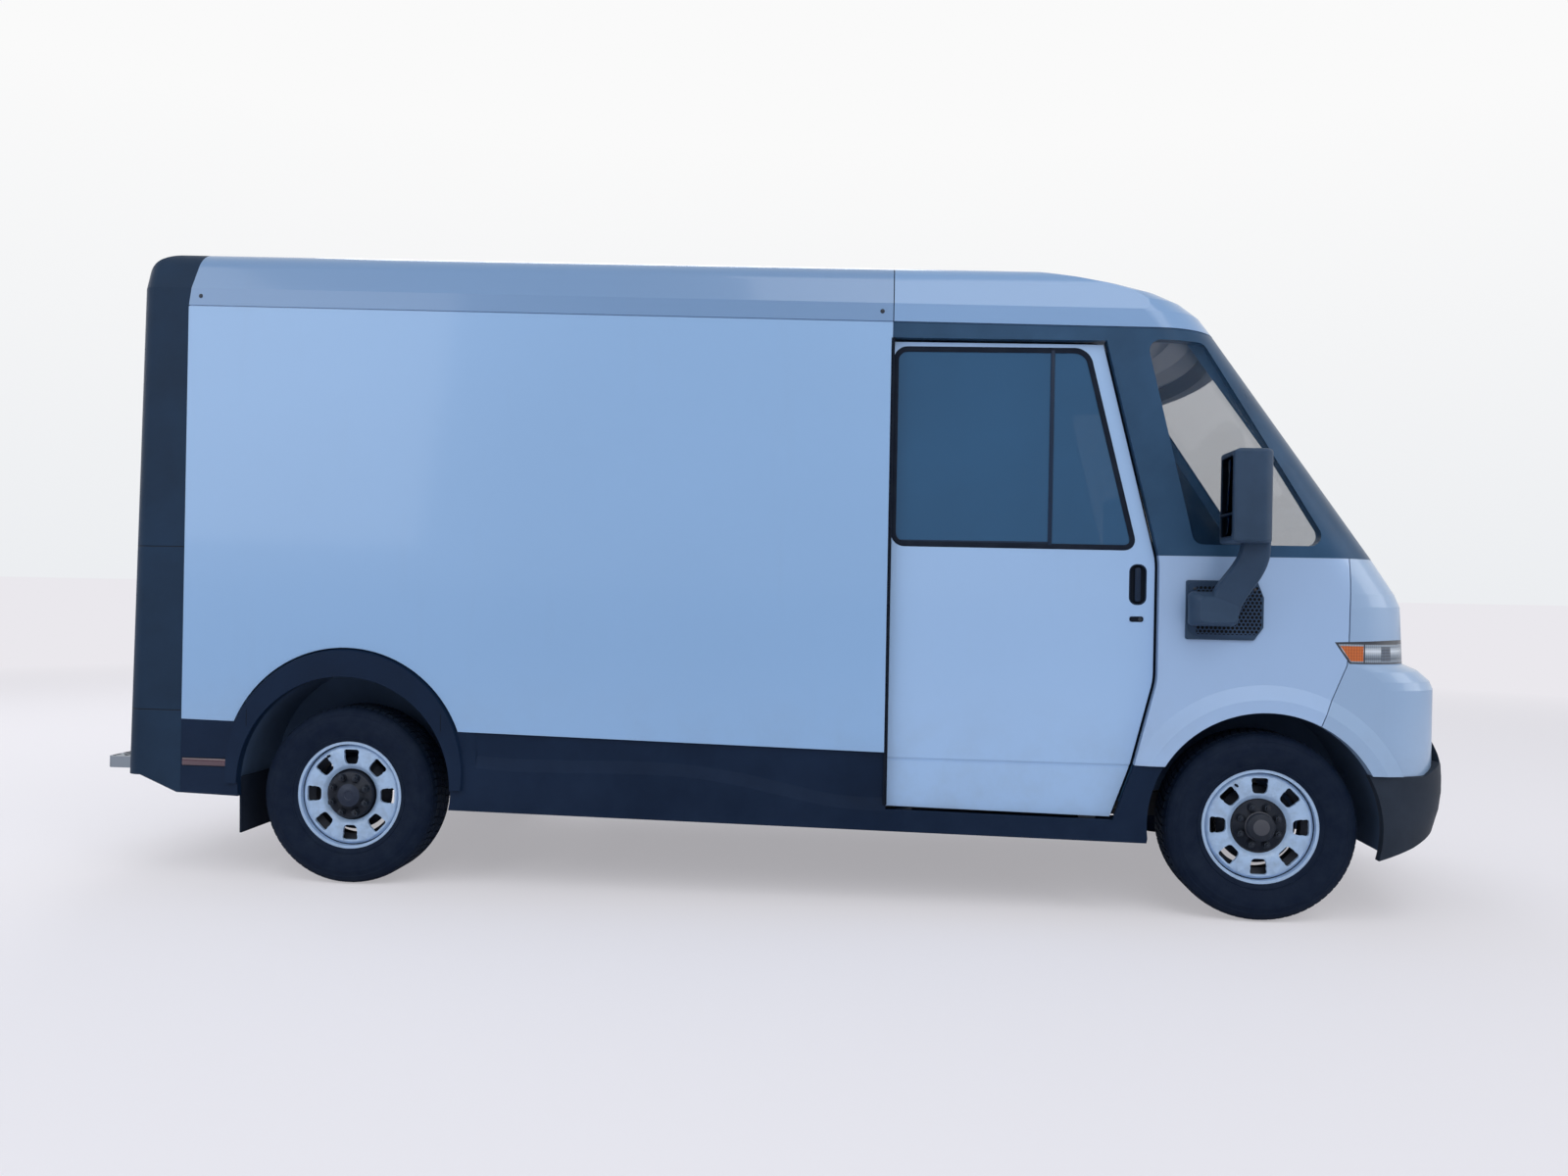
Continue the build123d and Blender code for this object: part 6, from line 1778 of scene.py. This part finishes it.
# ---------------------------------------------------------------- cab
@dataclass
class Seats(Trim):
    """The driver's padded seat, its head rest's posts and its belt's buckle."""

    voxel: float = 0.006
    pressure: float = 4.0
    steps: int = 20

    def pad(
        self, name: str, side: Sequence[Pair], low: float, high: float, shrink: float, reach: float
    ) -> bpy.types.Object:
        """One padded cushion, swollen by a cloth simulation.

        Args:
            name: The piece's name.
            side: Its outline seen from the side, in millimetres from the rear axle and above the ground.
            low: Its right edge, in millimetres to the left of the middle.
            high: Its left edge.
            shrink: How much smaller than the outline it starts, in metres.
            reach: How far a point may swell, in metres.

        Returns:
            The new cushion.
        """
        count = len(side)
        centre = Vector((sum(x for x, _ in side) / count, (low + high) / 2, sum(z for _, z in side) / count))
        outline = []
        for x, z in side:
            away = Vector((x - centre.x, 0.0, z - centre.z))
            share = 1.0 - shrink * 1000.0 / max(away.length, 1.0)
            outline.append(at(centre.x + away.x * share, low + shrink * 1000.0, centre.z + away.z * share))
        form = Form().plate(outline, Vector((0, (high - low) / 1000.0 - shrink * 2, 0)), 0.0, edge=0.022)
        piece = self.fit(form, name, Finish.FABRIC, "seat_fabric", crease=180.0)
        self.swell(piece, reach)
        smooth = piece.modifiers.new("smooth", "SUBSURF")
        smooth.levels = 1
        smooth.render_levels = 1
        settle(piece)
        return piece

    def swell(self, piece: bpy.types.Object, reach: float) -> None:
        """Blow the cushion up with cloth, held to a reach from where it started."""
        remesh = piece.modifiers.new("remesh", "REMESH")
        remesh.mode = "VOXEL"
        remesh.voxel_size = self.voxel
        settle(piece)
        held = [vert.co.copy() for vert in piece.data.vertices]
        cloth = piece.modifiers.new("cloth", "CLOTH")
        cloth.settings.use_pressure = True
        cloth.settings.uniform_pressure_force = self.pressure
        cloth.settings.effector_weights.gravity = 0.0
        scene = bpy.context.scene
        for step in range(self.steps):
            scene.frame_set(step + 1)
        settle(piece)
        scene.frame_set(1)
        for vert, home in zip(piece.data.vertices, held):
            move = vert.co - home
            if move.length > reach:
                vert.co = home + move.normalized() * reach

    def build(self) -> None:
        """Build the cushion, back and head rest, the head rest's posts and the belt's buckle."""
        pads = [
            self.pad("seat_pad", ((2816, 852), (3236, 852), (3246, 968), (2796, 946)), 186, 674, 0.022, 0.02),
            self.pad(
                "back_pad", ((2742, 976), (2836, 976), (2728, 1499), (2646, 1499)), 202, 658, 0.02, 0.018
            ),
            self.pad(
                "head_pad", ((2606, 1548), (2694, 1548), (2675, 1718), (2594, 1718)), 304, 556, 0.018, 0.016
            ),
        ]
        for piece in pads:
            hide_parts("seat_cushions")
        posts = Form()
        for y in (370.0, 490.0):
            posts.rod(at(2672, y, 1480), at(2650, y, 1565), 0.0065, None, 14)
        self.fit(posts, "head_rest_posts", Finish.BRIGHT, "seat_frame")
        buckle = Form().block(at(2842, 150, 905), at(2868, 178, 1000), 0.006)
        buckle.block(at(2846, 153, 996), at(2864, 175, 1004), 0.002)
        self.fit(buckle, "belt_buckle", Finish.HANDLE)


@dataclass
class CabTrim(Trim):
    """Steering wheel padding, the dashboard's tablet and vents, and the pedals, in millimetres."""

    driver_y: float = 430.0
    wheel: Pair = (-215.0, 1235.0)
    tilt: float = 32.0
    rim_radius: float = 0.195
    rim_thickness: float = 0.0165
    boss: tuple[Pair, ...] = (
        (0.0, 0.030), (0.045, 0.029), (0.064, 0.024), (0.075, 0.012), (0.077, -0.004), (0.0, -0.004),
    )
    tablet_place: Point = (-46.0, 20.0, 1230.0)
    tablet_half: float = 112.0
    tablet_rise: float = 72.0
    tablet_lean: float = 0.12
    vent_z: float = 1192.0

    def wheel_trim(self) -> None:
        """Leather-wrapped rim and padded boss with its two keypads."""
        lean = math.radians(self.tilt)
        axis = Vector((-math.cos(lean), 0.0, math.sin(lean)))
        up = Vector((math.sin(lean), 0.0, math.cos(lean)))
        centre = ahead(self.wheel[0], self.driver_y, self.wheel[1])
        thick = self.rim_thickness
        section = [
            (self.rim_radius + thick * math.cos(angle), thick * math.sin(angle))
            for angle in (math.tau * step / 14 for step in range(14))
        ]
        keys = Form()
        for side in (-0.112, 0.112):
            for row in (-0.013, 0.0, 0.013):
                spot = centre + Vector((0, side, 0)) + up * row + axis * 0.010
                outline = [spot + Vector((0, across, 0)) + up * rise for across, rise in oblong(0.012, 0.005)]
                keys.plate(outline, axis * 0.008, 0.002, edge=0.001, segments=3)
        rim = Form().turned(section, centre, axis, 72, closed=True)
        boss = Form().turned(self.boss, centre, axis, 40)
        for form, name, finish in (
            (rim, "steering_rim", Finish.LEATHER), (boss, "steering_boss", Finish.HANDLE),
            (keys, "steering_keys", Finish.DASH),
        ):
            self.fit(form, name, finish, "wheel_grip", "steering_wheel")

    def tablet(self) -> None:
        """Framed tablet on the dashboard's middle, leaning back."""
        x, y, z = self.tablet_place
        corners = oblong(self.tablet_half, self.tablet_rise)
        lean = self.tablet_lean
        case = Form().plate(
            [ahead(x + up * lean, y + across, z + up) for across, up in corners], Vector((0.013, 0, -0.002)),
            0.012, edge=0.003,
        )
        glass = Form().plate(
            [ahead(x - 1.4 + up * lean, y + across * 0.94, z + up * 0.9) for across, up in corners],
            Vector((0.001, 0, 0)), 0.006,
        )
        self.fit(case, "tablet_frame", Finish.HANDLE)
        self.fit(glass, "tablet_glass", Finish.SCREEN_DARK, "glazing")

    def vents(self) -> None:
        """Louvred air vents across the dashboard's face."""
        rims = Form()
        slats = Form()
        for y in (-690.0, -330.0, 235.0, 640.0):
            outline = [ahead(-37.5, y + across, self.vent_z + up) for across, up in oblong(62, 26)]
            rims.plate(outline, Vector((0.006, 0, 0)), 0.012, rim=0.006, edge=0.001)
            for up in (-18, -9, 0, 9, 18):
                z = self.vent_z + up
                slats.block(ahead(-37.0, y - 54, z - 1.6), ahead(-33.5, y + 54, z + 1.6), 0.0006, 1)
        self.fit(rims, "vent_rims", Finish.HANDLE)
        self.fit(slats, "vent_slats", Finish.GAP)

    def pedals(self) -> None:
        """Accelerator and brake pedals hung under the dashboard."""
        form = Form()
        pads = Form()
        for y, width in ((360.0, 62.0), (285.0, 44.0)):
            form.pipe([ahead(120, y, 968), ahead(70, y, 880), ahead(20, y, 760), ahead(-8, y, 655)], 0.008)
            pads.block(ahead(-22, y - width / 2, 612), ahead(-4, y + width / 2, 680), 0.005)
            for z in (620, 635, 650, 665):
                pads.block(ahead(-25, y - width * 0.42, z), ahead(-20, y + width * 0.42, z + 6), 0.0012, 1)
        self.fit(form, "pedal_arms", Finish.CHASSIS, "chassis_black")
        self.fit(pads, "pedal_pads", Finish.SEAL)

    def build(self) -> None:
        """Build every piece."""
        self.wheel_trim()
        self.tablet()
        self.vents()
        self.pedals()


# ---------------------------------------------------------------- underneath
@dataclass
class Underside(Trim):
    """The battery's bolts and the rear dampers, in metres."""

    bolts: int = 9
    bolt_margin: float = 0.08
    bolt_inset: float = 0.022

    def battery_bolts(self) -> None:
        """Flanged bolts along the battery's edges."""
        low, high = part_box("battery_pack")
        pitch = (high[0] - low[0] - 2 * self.bolt_margin) / (self.bolts - 1)
        form = Form()
        for step in range(self.bolts):
            for y in (low[1] + self.bolt_inset, high[1] - self.bolt_inset):
                spot = Vector((low[0] + self.bolt_margin + step * pitch, y, low[2] + 0.001))
                form.rod(spot, spot + Vector((0, 0, -0.003)), 0.016, None, 18)
                form.rod(spot, spot + Vector((0, 0, -0.012)), 0.0105, None, 6, 0.001)
        self.fit(form, "battery_bolts", Finish.HUB, "battery_case")

    def dampers(self) -> None:
        """Telescopic dampers from the rear axle up to the frame, with rubber eyes."""
        form = Form()
        for side in (-1.0, 1.0):
            foot, head = at(70, side * 430, 404), at(250, side * 400, 560)
            form.rod(foot, foot.lerp(head, 0.58), 0.024, None, 20, 0.003)
            form.rod(foot.lerp(head, 0.56), head, 0.009, None, 12)
            form.rod(foot.lerp(head, 0.40), foot.lerp(head, 0.80), 0.028, None, 20, 0.003)
            for eye in (foot, head):
                form.rod(eye + OUTWARDS * 0.022, eye + INWARDS * 0.022, 0.020, None, 18, 0.002)
        self.fit(form, "rear_dampers", Finish.CHASSIS, "chassis_black")

    def build(self) -> None:
        """Build every piece."""
        self.battery_bolts()
        self.dampers()


# ---------------------------------------------------------------- CAD nodes
# Named without right and left, which share their finishes.
PLAIN_FINISH: dict[str, Finish] = {
    "cargo_side": Finish.WHITE, "cargo_roof": Finish.ROOF, "cab_roof": Finish.CAB_ROOF,
    "front_fender": Finish.FENDER, "front_fascia": Finish.NOSE, "door": Finish.DOOR,
    "rear_roll_door": Finish.SHUTTER, "rear_surround": Finish.POST, "sill_cladding": Finish.CLADDING,
    "cab_frame": Finish.FRAME, "front_bumper": Finish.BUMPER, "mirror": Finish.MIRROR,
    "windscreen": Finish.SCREEN_GLASS, "quarter_glass": Finish.QUARTER_GLASS, "door_glass": Finish.GLASS,
    "bulkhead": Finish.LINER, "bulkhead_door": Finish.LINER, "floor": Finish.FLOOR, "dashboard": Finish.DASH,
    "seat_base": Finish.CHASSIS, "seat_cushions": Finish.FABRIC, "steering_wheel": Finish.LEATHER,
    "wheelhouses": Finish.HOUSE, "mud_flaps": Finish.SEAL, "chassis_frame": Finish.CHASSIS,
    "battery_pack": Finish.BATTERY, "front_suspension": Finish.CHASSIS, "rear_axle": Finish.CHASSIS,
    "knuckle": Finish.HUB, "rear_step": Finish.ALLOY, "headlamps": Finish.HEADLAMP,
    "tail_lamps": Finish.HANDLE, "tyre_front": Finish.TYRE, "tyre_rear": Finish.TYRE,
    "wheel_front": Finish.WHEEL, "wheel_rear": Finish.WHEEL,
}


def dress_frame(library: Library) -> None:
    """Give every CAD node its finish."""
    for name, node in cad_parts.items():
        dress(node, library[PLAIN_FINISH[name.replace("_right", "").replace("_left", "")]])


def main() -> None:
    """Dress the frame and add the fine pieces."""
    Studio().build()
    library = Library()
    dress_frame(library)
    BodyTrim(library).build()
    DoorTrim(library).build()
    MirrorTrim(library).build()
    FrontTrim(library).build()
    for front, end in ((True, "front"), (False, "rear")):
        for right, side in ((True, "right"), (False, "left")):
            Wheel(library, f"{end}_{side}", right, front).build()
    RearTrim(library).build()
    Seats(library).build()
    CabTrim(library).build()
    Underside(library).build()


if __name__ == "__main__":
    main()
